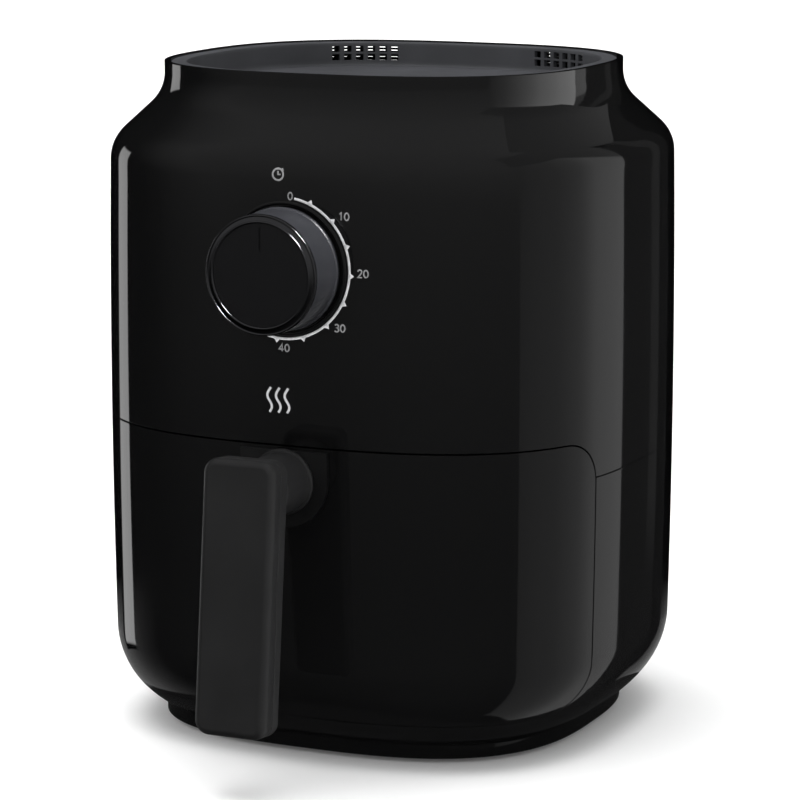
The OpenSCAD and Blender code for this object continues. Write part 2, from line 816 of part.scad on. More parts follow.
// Upright wall that keeps the pan's heat from the drawer front's skin.
module drawer_inner() {
    rear = pan_front_y - 5;
    gap = drawer_gap / 2 + drawer_wall;
    color([0.08, 0.08, 0.085]) in_frame() difference() {
        intersection() {
            body_solid(drawer_z0 + gap, drawer_z1 - gap, wall + 0.2);
            translate([-half_w, rear - 1.5, 0]) cube([body_w, 1.5, body_h]);
        }
        // Slots for the arms of the pan's bracket.
        for (s = [-1, 1]) translate([s * 20.75 - 1.2, rear - 5, 105]) cube([2.4, 10, 26]);
    }
}

module pan() {
    w = pan_wall;
    foot_in = pan_lip + pan_draft;
    steps = 4;
    color([0.09, 0.09, 0.095]) in_frame() difference() {
        ring_stack(concat(
            [for (i = [0 : steps]) let (a = 90 * i / steps, c = pan_round)
                pan_ring(pan_z0 + c * (1 - cos(a)), foot_in + c * (1 - sin(a)))],
            [pan_ring(pan_z1 - w, pan_lip), pan_ring(pan_z1 - w, 0), pan_ring(pan_z1, 0)],
            [pan_ring(pan_z1, pan_lip + w)],
            [for (i = [steps : -1 : 0]) let (a = 90 * i / steps, c = pan_round - w)
                pan_ring(pan_z0 + w + c * (1 - cos(a)), foot_in + w + c * (1 - sin(a)))]
        ));
        pan_screw_places() rod_y(2.1, -half_d, -70);
    }
}

// The two screws that hold the pan's bracket to the pan.
module pan_screw_places() {
    for (s = [-1, 1]) translate([27 * s, 0, pan_screw_z]) children();
}

module pan_bracket() {
    z0 = pan_screw_z - bracket_h / 2;
    t = holder_t;
    depth = pan_front_y - holder_y;
    color([0.66, 0.67, 0.68]) in_frame() difference() {
        union() {
            translate([-20, holder_y, z0]) cube([40, t, 34]);
            for (s = [0, 1]) mirror([s, 0, 0]) {
                translate([20, holder_y, z0]) cube([t, depth, bracket_h]);
                translate([20, pan_front_y - t, z0]) cube([14, t, bracket_h]);
            }
        }
        handle_screw_holes(2.1);
        pan_screw_places() rod_y(2.1, -half_d, -70);
    }
}

module pan_screws() {
    y0 = pan_front_y - holder_t;
    color([0.75, 0.75, 0.77]) in_frame() pan_screw_places() {
        rod_y(3.6, y0 - 1.8, y0);
        rod_y(2, y0 - 0.5, y0 + 5.5);
    }
}

// ---- Handle ----

// U-shaped outline of the handle's mounting plate, in X and Z.
module handle_outline(grow) {
    r = 21 + grow;
    z = 130;
    polygon(concat(
        [for (i = [0 : 24]) let (a = 180 + 180 * i / 24) [r * cos(a), z + r * sin(a)]],
        [[r, drawer_z1 - 1.6 + grow], [-r, drawer_z1 - 1.6 + grow]]
    ));
}

module handle_pocket(grow) {
    translate([0, pocket_y, 0]) rotate([90, 0, 0]) linear_extrude(20) handle_outline(grow);
}

module handle_screw_holes(r) {
    for (s = [-1, 1]) translate([0, 0, stem_z + s * handle_screw_z]) rod_y(r, -half_d - 12, -half_d + 30);
}

module handle_escutcheon() {
    color([0.1, 0.1, 0.105]) in_frame() difference() {
        translate([0, pocket_y, 0]) rotate([90, 0, 0])
            linear_extrude(pocket_y - plate_front_y) handle_outline(-0.1);
        handle_screw_holes(2.1);
    }
}

// The grip's bar: x across, front face in the plane through both reaches, between two depths.
grip_tilt = atan2(reach_low - reach_top, grip_z1 - grip_z0);
grip_len = norm([reach_low - reach_top, grip_z1 - grip_z0]);

module grip_bar(depth0, depth1) {
    translate([0, panel_y - reach_top, grip_z1]) rotate([-grip_tilt, 0, 0]) intersection() {
        translate([0, grip_t / 2, -grip_len]) linear_extrude(grip_len)
            rounded_rect(grip_w, grip_t, 5);
        translate([0, grip_t, -grip_len / 2]) rotate([90, 0, 0]) linear_extrude(grip_t)
            rounded_rect(grip_w, grip_len, 6);
        translate([-grip_w, depth0, -2 * grip_len]) cube([2 * grip_w, depth1 - depth0, 3 * grip_len]);
    }
}

module handle_grip() {
    color([0.13, 0.13, 0.135]) in_frame() grip_bar(0, grip_t / 2);
}

module handle_back() {
    color([0.13, 0.13, 0.135]) in_frame() grip_bar(grip_t / 2, grip_t);
}

module handle_stem() {
    color([0.1, 0.1, 0.105]) in_frame() difference() {
        translate([0, 0, stem_z]) union() {
            rod_y(stem_r, panel_y - reach_top, plate_front_y);
            rod_y(stem_r + 1.2, plate_front_y - 2, plate_front_y);
        }
        // The end that meets the tilted grip.
        translate([0, panel_y - reach_top, grip_z1]) rotate([-grip_tilt, 0, 0])
            translate([-50, grip_t - 100, -150]) cube([100, 100, 250]);
        handle_screw_holes(2);
    }
}

module handle_screws() {
    y1 = holder_y + holder_t;
    color([0.75, 0.75, 0.77]) in_frame()
        for (s = [-1, 1]) translate([0, 0, stem_z + s * handle_screw_z]) {
            rod_y(3.6, y1, y1 + 2);
            rod_y(2, -half_d - 12, y1);
        }
}

// ---- Crisper ----

module crisper_plate() {
    pitch = 15;
    color([0.1, 0.1, 0.105]) in_frame() difference() {
        ring_stack([pan_ring(plate_z, plate_in), pan_ring(plate_z + 1.5, plate_in)]);
        for (row = [-5 : 5]) for (col = [-5 : 5]) {
            x = pitch * (col + (row % 2 == 0 ? 0 : 0.5));
            y = pitch * 0.866 * row;
            if (norm([x, y]) < 70)
                translate([x, y + axis_y, plate_z - 1]) cylinder(r = 3, h = 4, $fn = 24);
        }
    }
}

module crisper_bumpers() {
    color([0.1, 0.1, 0.1]) in_frame() at_fan_axis() for (i = [0 : 3]) rotate([0, 0, 90 * i]) {
        edge = (i % 2 == 0 ? pan_half_w : pan_half_d) - plate_in;
        difference() {
            translate([edge - 8, -7, plate_z - 3]) cube([9.3, 14, 8]);
            translate([edge - 20, -8, plate_z]) cube([20.1, 16, 1.5]);
        }
    }
}

upper_housing();
lower_housing();
base_plate();
rubber_feet();
base_screws();
top_cover();
cord_gland();
terminal_block();
wire_harness();
bay_frame();
bay_liner();
bay_rails();
chamber_liner();
heating_element();
element_brackets();
heat_shield();
thermostat();
thermal_fuse();
motor_bracket();
motor_grommets();
motor_stator();
motor_coil();
motor_endcaps();
shaft_bearings();
motor_screws();
air_duct();
timer_bracket();
timer_case();
timer_bell();
timer_screws();
microswitch_body();
motor_shaft();
motor_rotor();
convection_fan();
fan_nut();
cooling_fan();
timer_shaft();
timer_knob();
knob_trim();
knob_cap();
microswitch_plunger();
drawer_front();
drawer_inner();
pan();
pan_bracket();
pan_screws();
handle_escutcheon();
handle_stem();
handle_back();
handle_grip();
handle_screws();
crisper_plate();
crisper_bumpers();
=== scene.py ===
# Looks of a countertop air fryer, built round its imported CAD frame.

import json
import math

import bmesh
import bpy
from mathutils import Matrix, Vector


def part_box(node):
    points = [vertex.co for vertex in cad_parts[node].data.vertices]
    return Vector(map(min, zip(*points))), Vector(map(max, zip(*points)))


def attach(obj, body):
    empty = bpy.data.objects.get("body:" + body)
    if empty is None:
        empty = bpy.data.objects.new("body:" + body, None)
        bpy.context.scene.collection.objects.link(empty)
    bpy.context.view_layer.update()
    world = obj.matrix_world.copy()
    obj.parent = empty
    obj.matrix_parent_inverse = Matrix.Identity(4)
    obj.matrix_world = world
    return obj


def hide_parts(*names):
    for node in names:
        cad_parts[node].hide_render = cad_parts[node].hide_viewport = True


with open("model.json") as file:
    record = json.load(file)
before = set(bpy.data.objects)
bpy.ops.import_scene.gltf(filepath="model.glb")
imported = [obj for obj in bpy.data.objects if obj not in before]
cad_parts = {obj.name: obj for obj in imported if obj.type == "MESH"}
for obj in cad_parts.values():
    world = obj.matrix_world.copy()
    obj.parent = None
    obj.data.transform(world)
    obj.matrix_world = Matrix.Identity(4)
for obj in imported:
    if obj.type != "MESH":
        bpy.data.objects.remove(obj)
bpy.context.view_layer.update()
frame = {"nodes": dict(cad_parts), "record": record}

MM = 0.001
DEG = math.pi / 180
SLOT_OF = {part["node"]: part["material_slot"] for part in frame["record"]["subparts"]}

# ---- Sizes, in millimetres. Points are (x, y, z) with y about the body's own upright axis ----

housing_lo, housing_hi = (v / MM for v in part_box("upper_housing"))
skirt_lo, _ = (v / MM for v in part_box("lower_housing"))
front_lo, front_hi = (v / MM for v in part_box("drawer_front"))
grip_lo, grip_hi = (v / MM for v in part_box("handle_grip"))
knob_lo, knob_hi = (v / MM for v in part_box("timer_knob"))
cap_lo, cap_hi = (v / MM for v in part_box("knob_cap"))
plate_lo, _ = (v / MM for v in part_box("handle_escutcheon"))

BODY_Y = (housing_lo.y + housing_hi.y) / 2
HALF_W = (housing_hi.x - housing_lo.x) / 2
HALF_D = (housing_hi.y - housing_lo.y) / 2
RIM_Z = housing_hi.z
SEAM_Z = housing_lo.z
SKIRT_Z = skirt_lo.z
DRAWER_Z0 = front_lo.z
DRAWER_Z1 = front_hi.z
DRAWER_Y = front_hi.y - BODY_Y
KNOB_Z = (knob_lo.z + knob_hi.z) / 2

WALL = 2.5
SEAM_GAP = 0.3
DRAWER_GAP = 0.7
CORNER_TOP = 19 - DRAWER_GAP / 2
CORNER_LOW = 24 - DRAWER_GAP / 2

SQUARE_BODY = 2.83
SQUARE_NECK = 2.64
NECK_IN = 22.5
BARREL = 1.0
SKIRT_IN = 22.0
BOTTOM_R = 42.0
BOTTOM_CZ = 45.0
SHOULDER_R = 18.7
SHOULDER_Z = RIM_Z - 43
ARC_IN = SHOULDER_R * (1 - math.cos(45 * DEG))
ARC_H = SHOULDER_R * math.sin(45 * DEG)
SLOPE_Z = SHOULDER_Z + ARC_H
NECK_ARC_Z = SLOPE_Z + NECK_IN - BARREL - 2 * ARC_IN
NECK_Z = NECK_ARC_Z + ARC_H


def round_square(psi, half_w, half_d, n):
    """How far across and ahead a rounded square reaches at angle psi from its front."""
    s, c = math.sin(psi), math.cos(psi)
    r = ((abs(s) / half_w) ** n + (abs(c) / half_d) ** n) ** (-1 / n)
    return r * s, r * c


def wall_inset(z):
    """How far the body's surface lies inside its widest outline at height z."""
    if z < BOTTOM_CZ:
        drop = math.sqrt(BOTTOM_R**2 - (BOTTOM_CZ - z) ** 2) if z > BOTTOM_CZ - BOTTOM_R else 0
        return min(SKIRT_IN, BARREL + BOTTOM_R - drop)
    if z < SHOULDER_Z:
        return BARREL * (2 * (z - BOTTOM_CZ) / (SHOULDER_Z - BOTTOM_CZ) - 1) ** 2
    if z < SLOPE_Z:
        return BARREL + SHOULDER_R - math.sqrt(SHOULDER_R**2 - (z - SHOULDER_Z) ** 2)
    if z < NECK_ARC_Z:
        return BARREL + ARC_IN + z - SLOPE_Z
    if z < NECK_Z:
        return NECK_IN - SHOULDER_R + math.sqrt(SHOULDER_R**2 - (NECK_Z - z) ** 2)
    return NECK_IN


def plan_n(z):
    """Squareness of the body's plan at height z."""
    share = min(1, max(0, (z - SHOULDER_Z) / (NECK_Z - SHOULDER_Z)))
    return SQUARE_BODY + (SQUARE_NECK - SQUARE_BODY) * share


def surface(psi, z):
    """Point of the body's surface at angle psi from the front towards +X."""
    half = wall_inset(z)
    across, ahead = round_square(psi, HALF_W - half, HALF_D - half, plan_n(z))
    return (across, -ahead, z)


def psi_at_y(y, z):
    """Angle from the front at which the body's surface reaches y at height z."""
    half, n = wall_inset(z), plan_n(z)
    x = (HALF_W - half) * max(0, 1 - (abs(y) / (HALF_D - half)) ** n) ** (1 / n)
    return math.atan2(x, -y)


def on_front(x, z, proud):
    """Point on the body's front, proud of it by so much."""
    half, n = wall_inset(z), plan_n(z)
    y = (HALF_D - half) * (1 - (abs(x) / (HALF_W - half)) ** n) ** (1 / n)
    return (x, -y - proud, z)


def spread(a, b, count):
    """count steps from a to b, both ends included."""
    return [a + (b - a) * i / count for i in range(count + 1)]


def mirrored(angles):
    """Angles from 0 up, with the same ones on the other side before them."""
    return [-a for a in reversed(angles[1:])] + angles


def between_points(a, b, share=0.5):
    """Point so far on the way from a to b."""
    return tuple(u + (v - u) * share for u, v in zip(a, b))


def face_middle(verts, face):
    """Middle of a four-sided face."""
    return tuple(sum(verts[i][k] for i in face) / 4 for k in range(3))


# ---- Mesh making ----

WELD = 0.003
SHARP = 42 * DEG


def make(name, verts, faces, body, material, closed=False):
    """One mesh piece from points in millimetres, welded, riding on a CAD body."""
    mesh = bpy.data.meshes.new(name)
    mesh.from_pydata([Vector((x, y + BODY_Y, z)) * MM for x, y, z in verts], [], faces)
    bm = bmesh.new()
    bm.from_mesh(mesh)
    bmesh.ops.remove_doubles(bm, verts=bm.verts, dist=WELD * MM)
    bmesh.ops.dissolve_degenerate(bm, edges=bm.edges, dist=0.002 * MM)
    if closed:
        bmesh.ops.recalc_face_normals(bm, faces=bm.faces)
    for face in bm.faces:
        face.smooth = True
    bm.to_mesh(mesh)
    bm.free()
    piece = bpy.data.objects.new(name, mesh)
    bpy.context.scene.collection.objects.link(piece)
    mesh.materials.append(material)
    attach(piece, body)
    return piece


def thicken(piece, thickness, offset=-1):
    """Gives a surface its wall, inward unless offset says otherwise."""
    solid = piece.modifiers.new("wall", "SOLIDIFY")
    solid.thickness = thickness * MM
    solid.offset = offset
    solid.use_even_offset = True


def round_edges(piece, width, segments=3):
    """Rounds the sharp edges and evens the shading beside them."""
    bevel = piece.modifiers.new("edges", "BEVEL")
    bevel.width = width * MM
    bevel.segments = segments
    bevel.limit_method = "ANGLE"
    bevel.angle_limit = SHARP
    bevel.harden_normals = True
    bevel.miter_outer = "MITER_ARC"


def even_shading(piece):
    """Keeps large flat faces flat beside their rounded edges."""
    weighted = piece.modifiers.new("shading", "WEIGHTED_NORMAL")
    weighted.keep_sharp = True
    weighted.weight = 80


def grid(rows):
    """Points and quads of a sheet given as rows of equally many points."""
    width = len(rows[0])
    verts = [p for row in rows for p in row]
    faces = [
        (r * width + c, r * width + c + 1, (r + 1) * width + c + 1, (r + 1) * width + c)
        for r in range(len(rows) - 1)
        for c in range(width - 1)
    ]
    return verts, faces


def join(*sheets):
    """Several (points, faces) sheets as one."""
    verts, faces = [], []
    for more, quads in sheets:
        base = len(verts)
        verts += more
        faces += [tuple(base + i for i in face) for face in quads]
    return verts, faces


def lathe(profile, axis_z, count):
    """Points and quads of (radius, y) pairs turned about Y at height axis_z."""
    turns = [2 * math.pi * i / count for i in range(count + 1)]
    rows = []
    for radius, y in profile:
        rows.append([(radius * math.cos(a), y, axis_z + radius * math.sin(a)) for a in turns])
    return grid(rows)


# ---- Materials ----


class Nodes:
    """Short hand for wiring a material."""

    def __init__(self, name, color, rough, metal=0.0):
        self.material = bpy.data.materials.new(name)
        self.material.use_nodes = True
        self.tree = self.material.node_tree
        self.shader = self.tree.nodes["Principled BSDF"]
        self.shader.inputs["Base Color"].default_value = (*color, 1)
        self.shader.inputs["Roughness"].default_value = rough
        self.shader.inputs["Metallic"].default_value = metal
        self.coords = self.add("ShaderNodeTexCoord").outputs["Object"]

    def add(self, kind, **values):
        """A node of this kind with these settings."""
        node = self.tree.nodes.new(kind)
        for key, value in values.items():
            setattr(node, key, value)
        return node

    def link(self, source, target):
        """Joins an output to an input."""
        self.tree.links.new(source, target)

    def noise(self, scale, detail, stretch=(1, 1, 1)):
        """Cloudy noise in object space, so many waves to a metre."""
        spread_out = self.add("ShaderNodeMapping")
        spread_out.inputs["Scale"].default_value = stretch
        self.link(self.coords, spread_out.inputs["Vector"])
        node = self.add("ShaderNodeTexNoise")
        node.inputs["Scale"].default_value = scale
        node.inputs["Detail"].default_value = detail
        node.inputs["Roughness"].default_value = 0.55
        self.link(spread_out.outputs["Vector"], node.inputs["Vector"])
        return node.outputs["Fac"]

    def between(self, source, low, high, start=0.3, end=0.7):
        """Source from start to end made into low to high."""
        node = self.add("ShaderNodeMapRange")
        node.inputs["From Min"].default_value = start
        node.inputs["From Max"].default_value = end
        node.inputs["To Min"].default_value = low
        node.inputs["To Max"].default_value = high
        self.link(source, node.inputs["Value"])
        return node.outputs["Result"]

    def tint(self, source, dark, light, start=0.35, end=0.65):
        """Base colour from dark to light as the source goes from start to end."""
        ramp = self.add("ShaderNodeValToRGB")
        ramp.color_ramp.elements[0].position = start
        ramp.color_ramp.elements[0].color = (*dark, 1)
        ramp.color_ramp.elements[1].position = end
        ramp.color_ramp.elements[1].color = (*light, 1)
        self.link(source, ramp.inputs["Fac"])
        self.link(ramp.outputs["Color"], self.shader.inputs["Base Color"])

    def bump(self, source, depth):
        """Surface relief of so many millimetres."""
        node = self.add("ShaderNodeBump")
        node.inputs["Distance"].default_value = depth * MM
        node.inputs["Strength"].default_value = 1.0
        self.link(source, node.inputs["Height"])
        self.link(node.outputs["Normal"], self.shader.inputs["Normal"])


def scaled(color, by):
    """Colour made lighter or darker."""
    return tuple(c * by for c in color)


def moulded_gloss(name, color, rough, haze):
    """Polished plastic: clear reflections with faint cloudy variation from handling."""
    m = Nodes(name, color, rough)
    cloud = m.noise(14, 4)
    m.link(m.between(cloud, rough, rough + haze, 0.35, 0.8), m.shader.inputs["Roughness"])
    m.tint(m.noise(3, 2), scaled(color, 0.85), scaled(color, 1.15))
    m.bump(m.noise(9, 1), 0.012)
    return m.material


def moulded_matt(name, color, rough=0.5, grain=0.02, grain_scale=1400):
    """Spark-eroded plastic: a fine even grain with slight shade changes."""
    m = Nodes(name, color, rough)
    m.tint(m.noise(30, 4), scaled(color, 0.88), scaled(color, 1.12))
    m.link(m.between(m.noise(60, 3), rough - 0.05, rough + 0.07), m.shader.inputs["Roughness"])
    m.bump(m.noise(grain_scale, 2), grain)
    return m.material


def bare_metal(name, color, rough, stretch=(1, 1, 1), scale=300):
    """Sheet or turned metal: streaks along its working direction and dull patches."""
    m = Nodes(name, color, rough, 1.0)
    streaks = m.noise(scale, 4, stretch)
    m.tint(m.noise(22, 4), scaled(color, 0.82), scaled(color, 1.08), 0.3, 0.7)
    m.link(m.between(streaks, rough - 0.06, rough + 0.12), m.shader.inputs["Roughness"])
    m.bump(streaks, 0.004)
    return m.material


SHEET_PITCH = 0.5
BAND_TURNS = 20


def stacked_metal(name, color):
    """Laminations: thin sheets stacked upright, seen as fine level lines."""
    m = Nodes(name, color, 0.45, 1.0)
    wave = m.add("ShaderNodeTexWave", wave_type="BANDS", bands_direction="Z")
    wave.inputs["Scale"].default_value = 1 / (SHEET_PITCH * MM) / BAND_TURNS
    wave.inputs["Distortion"].default_value = 0.0
    m.link(m.coords, wave.inputs["Vector"])
    m.tint(wave.outputs["Fac"], scaled(color, 0.35), color, 0.1, 0.5)
    m.bump(wave.outputs["Fac"], 0.1)
    return m.material


def heat_tinted(name, color):
    """Heater sheath: dull metal with straw and blue heat colours."""
    m = Nodes(name, color, 0.42, 0.85)
    m.tint(m.noise(18, 3), (0.16, 0.13, 0.14), (0.42, 0.33, 0.22), 0.35, 0.7)
    m.link(m.between(m.noise(200, 3), 0.35, 0.55), m.shader.inputs["Roughness"])
    m.bump(m.noise(500, 2), 0.01)
    return m.material


def coated_steel(name, color):
    """Non-stick coating: dark, satin, with a fine speckle."""
    m = Nodes(name, color, 0.36)
    m.shader.inputs["Coat Weight"].default_value = 0.15
    m.shader.inputs["Coat Roughness"].default_value = 0.3
    cells = m.add("ShaderNodeTexVoronoi", feature="F1")
    cells.inputs["Scale"].default_value = 900
    m.link(m.coords, cells.inputs["Vector"])
    m.tint(cells.outputs["Distance"], scaled(color, 2.2), color, 0.05, 0.2)
    m.link(m.between(m.noise(80, 3), 0.3, 0.46), m.shader.inputs["Roughness"])
    m.bump(m.noise(700, 2), 0.012)
    return m.material


def wound_wire(name, color):
    """Coil winding: rows of round wire."""
    m = Nodes(name, color, 0.3, 0.9)
    wave = m.add("ShaderNodeTexWave", wave_type="BANDS", bands_direction="X")
    wave.inputs["Scale"].default_value = 120
    wave.inputs["Distortion"].default_value = 0.6
    m.link(m.coords, wave.inputs["Vector"])
    m.tint(wave.outputs["Fac"], scaled(color, 0.35), color, 0.15, 0.6)
    m.bump(wave.outputs["Fac"], 0.2)
    return m.material


def braided(name, color):
    """Woven sleeve: crossing threads."""
    m = Nodes(name, color, 0.85)
    threads = m.add("ShaderNodeTexVoronoi", feature="F1")
    threads.inputs["Scale"].default_value = 1200
    m.link(m.coords, threads.inputs["Vector"])
    m.tint(threads.outputs["Distance"], color, scaled(color, 0.7), 0.2, 0.6)
    m.bump(threads.outputs["Distance"], 0.15)
    return m.material


def rubbery(name, color):
    """Rubber or silicone: dull, slightly dusty."""
    m = Nodes(name, color, 0.62)
    m.shader.inputs["Sheen Weight"].default_value = 0.05
    m.tint(m.noise(60, 3), scaled(color, 0.85), scaled(color, 1.2))
    m.link(m.between(m.noise(120, 3), 0.55, 0.72), m.shader.inputs["Roughness"])
    m.bump(m.noise(900, 2), 0.02)
    return m.material


def bright_trim_metal(name, color):
    """Dark chromed trim: nearly a mirror, slightly uneven."""
    m = Nodes(name, color, 0.14, 1.0)
    m.tint(m.noise(40, 3), scaled(color, 0.9), scaled(color, 1.1))
    m.link(m.between(m.noise(90, 3), 0.1, 0.2), m.shader.inputs["Roughness"])
    m.bump(m.noise(500, 2), 0.002)
    return m.material


LOOKS = {
    "gloss_black": moulded_gloss("gloss_black", (0.0034, 0.0034, 0.0035), 0.04, 0.03),
    "soft_black": moulded_matt("soft_black", (0.0070, 0.0070, 0.0073), 0.46, 0.012),
    "cover_grey": moulded_matt("cover_grey", (0.051, 0.0525, 0.0585), 0.5, 0.015),
    "inner_black": moulded_matt("inner_black", (0.012, 0.012, 0.013), 0.5, 0.02),
    "knob_grey": moulded_gloss("knob_grey", (0.0200, 0.0206, 0.0240), 0.28, 0.1),
    "knob_face": moulded_gloss("knob_face", (0.0036, 0.0036, 0.004), 0.1, 0.05),
    "bright_trim": bright_trim_metal("bright_trim", (0.13, 0.13, 0.137)),
    "rubber_black": rubbery("rubber_black", (0.012, 0.012, 0.012)),
    "silicone_black": rubbery("silicone_black", (0.018, 0.018, 0.019)),
    "zinc_steel": bare_metal("zinc_steel", (0.55, 0.56, 0.58), 0.32, (1, 1, 6)),
    "spring_steel": bare_metal("spring_steel", (0.62, 0.62, 0.64), 0.2, (6, 6, 1)),
    "laminated_steel": stacked_metal("laminated_steel", (0.3, 0.31, 0.33)),
    "aluminised_sheet": bare_metal("aluminised_sheet", (0.6, 0.61, 0.62), 0.34, (1, 8, 1), 120),
    "element_steel": heat_tinted("element_steel", (0.35, 0.3, 0.26)),
    "nonstick_black": coated_steel("nonstick_black", (0.02, 0.02, 0.021)),
    "copper_wire": wound_wire("copper_wire", (0.6, 0.24, 0.1)),
    "bronze": bare_metal("bronze", (0.5, 0.36, 0.16), 0.4),
    "pale_resin": moulded_matt("pale_resin", (0.7, 0.66, 0.56), 0.55, 0.03, 700),
    "wire_sleeve": braided("wire_sleeve", (0.62, 0.6, 0.54)),
    "switch_black": moulded_matt("switch_black", (0.02, 0.02, 0.022), 0.42, 0.02),
    "switch_red": moulded_matt("switch_red", (0.4, 0.03, 0.02), 0.4, 0.02),
}


def silver_print(name, tone):
    """Printed silver ink on the gloss shell."""
    m = Nodes(name, scaled((0.6, 0.6, 0.61), tone), 0.42)
    m.tint(m.noise(500, 2), scaled((0.52, 0.52, 0.53), tone), scaled((0.66, 0.66, 0.67), tone))
    m.bump(m.noise(1500, 2), 0.004)
    return m.material


SILVER = silver_print("silver_print", 1.0)
FAINT = silver_print("faint_print", 0.4)
PLATE = moulded_matt("plate_black", (0.0042, 0.0042, 0.0044), 0.34, 0.008)

for node, cad in frame["nodes"].items():
    look = PLATE if node == "handle_escutcheon" else LOOKS[SLOT_OF[node]]
    cad.data.materials.clear()
    cad.data.materials.append(look)

# ---- Shells ----

HOLE_R = 6.0
PSI_STEP = 1.5 * DEG
CORNER_STEPS = 12
PLAIN_LOW = 160.0
PLAIN_ROWS = (170, 180, 190, 200, 209, 238, 246, 254)
SEAM_LIP = 1.5
VENT_FIRST, VENT_LAST = 7, 12
VENT_STEP = 5.3 / 87
VENT_HALF = 1.09 * DEG
# The slits in the neck, and the square holes in the cover's wall before them.
SLIT_PITCH = 1.5
VENT_ROWS = tuple((RIM_Z - 9.8 + SLIT_PITCH * k, RIM_Z - 9.2 + SLIT_PITCH * k) for k in range(6))
HOLE_HALF = 1.5
COVER_ROWS = tuple((mid - HOLE_HALF, mid + HOLE_HALF) for mid in (RIM_Z - 7.8, RIM_Z - 3.8))

SHOULDER_ROWS = (
    [SHOULDER_Z + SHOULDER_R * math.sin(a * DEG) for a in spread(0, 45, 9)]
    + [SLOPE_Z + (NECK_ARC_Z - SLOPE_Z) * 0.5]
    + [NECK_Z - SHOULDER_R * math.sin(a * DEG) for a in spread(45, 0, 9)]
)


def fit_columns(psis, wanted):
    """Moves the nearest free column onto each wanted angle."""
    psis = sorted(psis)
    for w in wanted:
        i = min(range(len(psis)), key=lambda k: abs(psis[k] - w))
        psis[i] = w
    return sorted(psis)


def upper_boundary(y):
    """Lower edge of the upper housing: the side seam, then over the drawer front."""
    cz = DRAWER_Z1 - CORNER_TOP
    cy = DRAWER_Y - CORNER_TOP
    r = CORNER_TOP + DRAWER_GAP
    if y <= cy:
        return cz + r
    if y >= cy + r:
        return SEAM_Z + SEAM_GAP / 2
    return max(SEAM_Z + SEAM_GAP / 2, cz + math.sqrt(r * r - (y - cy) ** 2))


def vent_columns():
    """Angles from the front of the rear vents' edges, on the +X side."""
    edges = []
    for i in range(VENT_FIRST, VENT_LAST + 1):
        edges += [math.pi - i * VENT_STEP + VENT_HALF, math.pi - i * VENT_STEP - VENT_HALF]
    return sorted(edges)


def clear_of(psis, slots):
    """Regular columns with those near the vents' edges left out, and the edges put in."""
    near = 0.6 * PSI_STEP
    kept = [p for p in psis if not slots[0] - near < p < slots[-1] + near]
    return sorted(kept + slots)


def in_vent(x, y, z, rows):
    """Whether a face in the rear wall lies in one of the vents."""
    turn = math.atan2(abs(x), y)
    i = round(turn / VENT_STEP)
    beside = abs(turn - i * VENT_STEP) < VENT_HALF and VENT_FIRST <= i <= VENT_LAST
    return beside and any(low < z < high for low, high in rows)


def upper_shell():
    """Gloss shell from the side seam up to the rim, with the timer's hole and the neck's slits."""
    cz = DRAWER_Z1 - CORNER_TOP
    cy = DRAWER_Y - CORNER_TOP
    r = CORNER_TOP + DRAWER_GAP
    low = math.asin((SEAM_Z + SEAM_GAP / 2 - cz) / r)
    turns = spread(90 * DEG, low, CORNER_STEPS)
    corner = [psi_at_y(cy + r * math.cos(a), cz + r * math.sin(a)) for a in turns]
    front = spread(0, corner[0], round(corner[0] / PSI_STEP))[:-1]
    hole = math.atan2(HOLE_R, HALF_D)
    front = fit_columns(front, [hole])
    back = spread(corner[-1], math.pi, round((math.pi - corner[-1]) / PSI_STEP))[1:]
    back = clear_of(back, vent_columns())
    right = front + corner + back
    psis = mirrored(right)
    regular = [PLAIN_LOW, *PLAIN_ROWS, KNOB_Z - HOLE_R, KNOB_Z, KNOB_Z + HOLE_R]
    regular += [z for z in SHOULDER_ROWS if z < VENT_ROWS[0][0] - 0.4] + [RIM_Z]
    regular = sorted(set(regular + [z for row in VENT_ROWS for z in row]))
    columns = []
    for p in psis:
        y = surface(p, DRAWER_Z1)[1]
        start = upper_boundary(y)
        near = [start, start + SEAM_LIP] + spread(start + SEAM_LIP, PLAIN_LOW, 5)[1:-1]
        columns.append([surface(p, z) for z in near + regular])
    rows = [list(row) for row in zip(*columns)]
    verts, faces = grid(rows)

    def kept(face):
        x, y, z = face_middle(verts, face)
        in_hole = y < 0 and abs(x) < HOLE_R and abs(z - KNOB_Z) < HOLE_R
        return not (in_hole or in_vent(x, y, z, VENT_ROWS))

    whole = [f for f in faces if kept(f)]
    piece = make("upper_shell", verts, whole, "housing", LOOKS["gloss_black"])
    thicken(piece, WALL)
    round_edges(piece, 0.28)
    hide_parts("upper_housing")


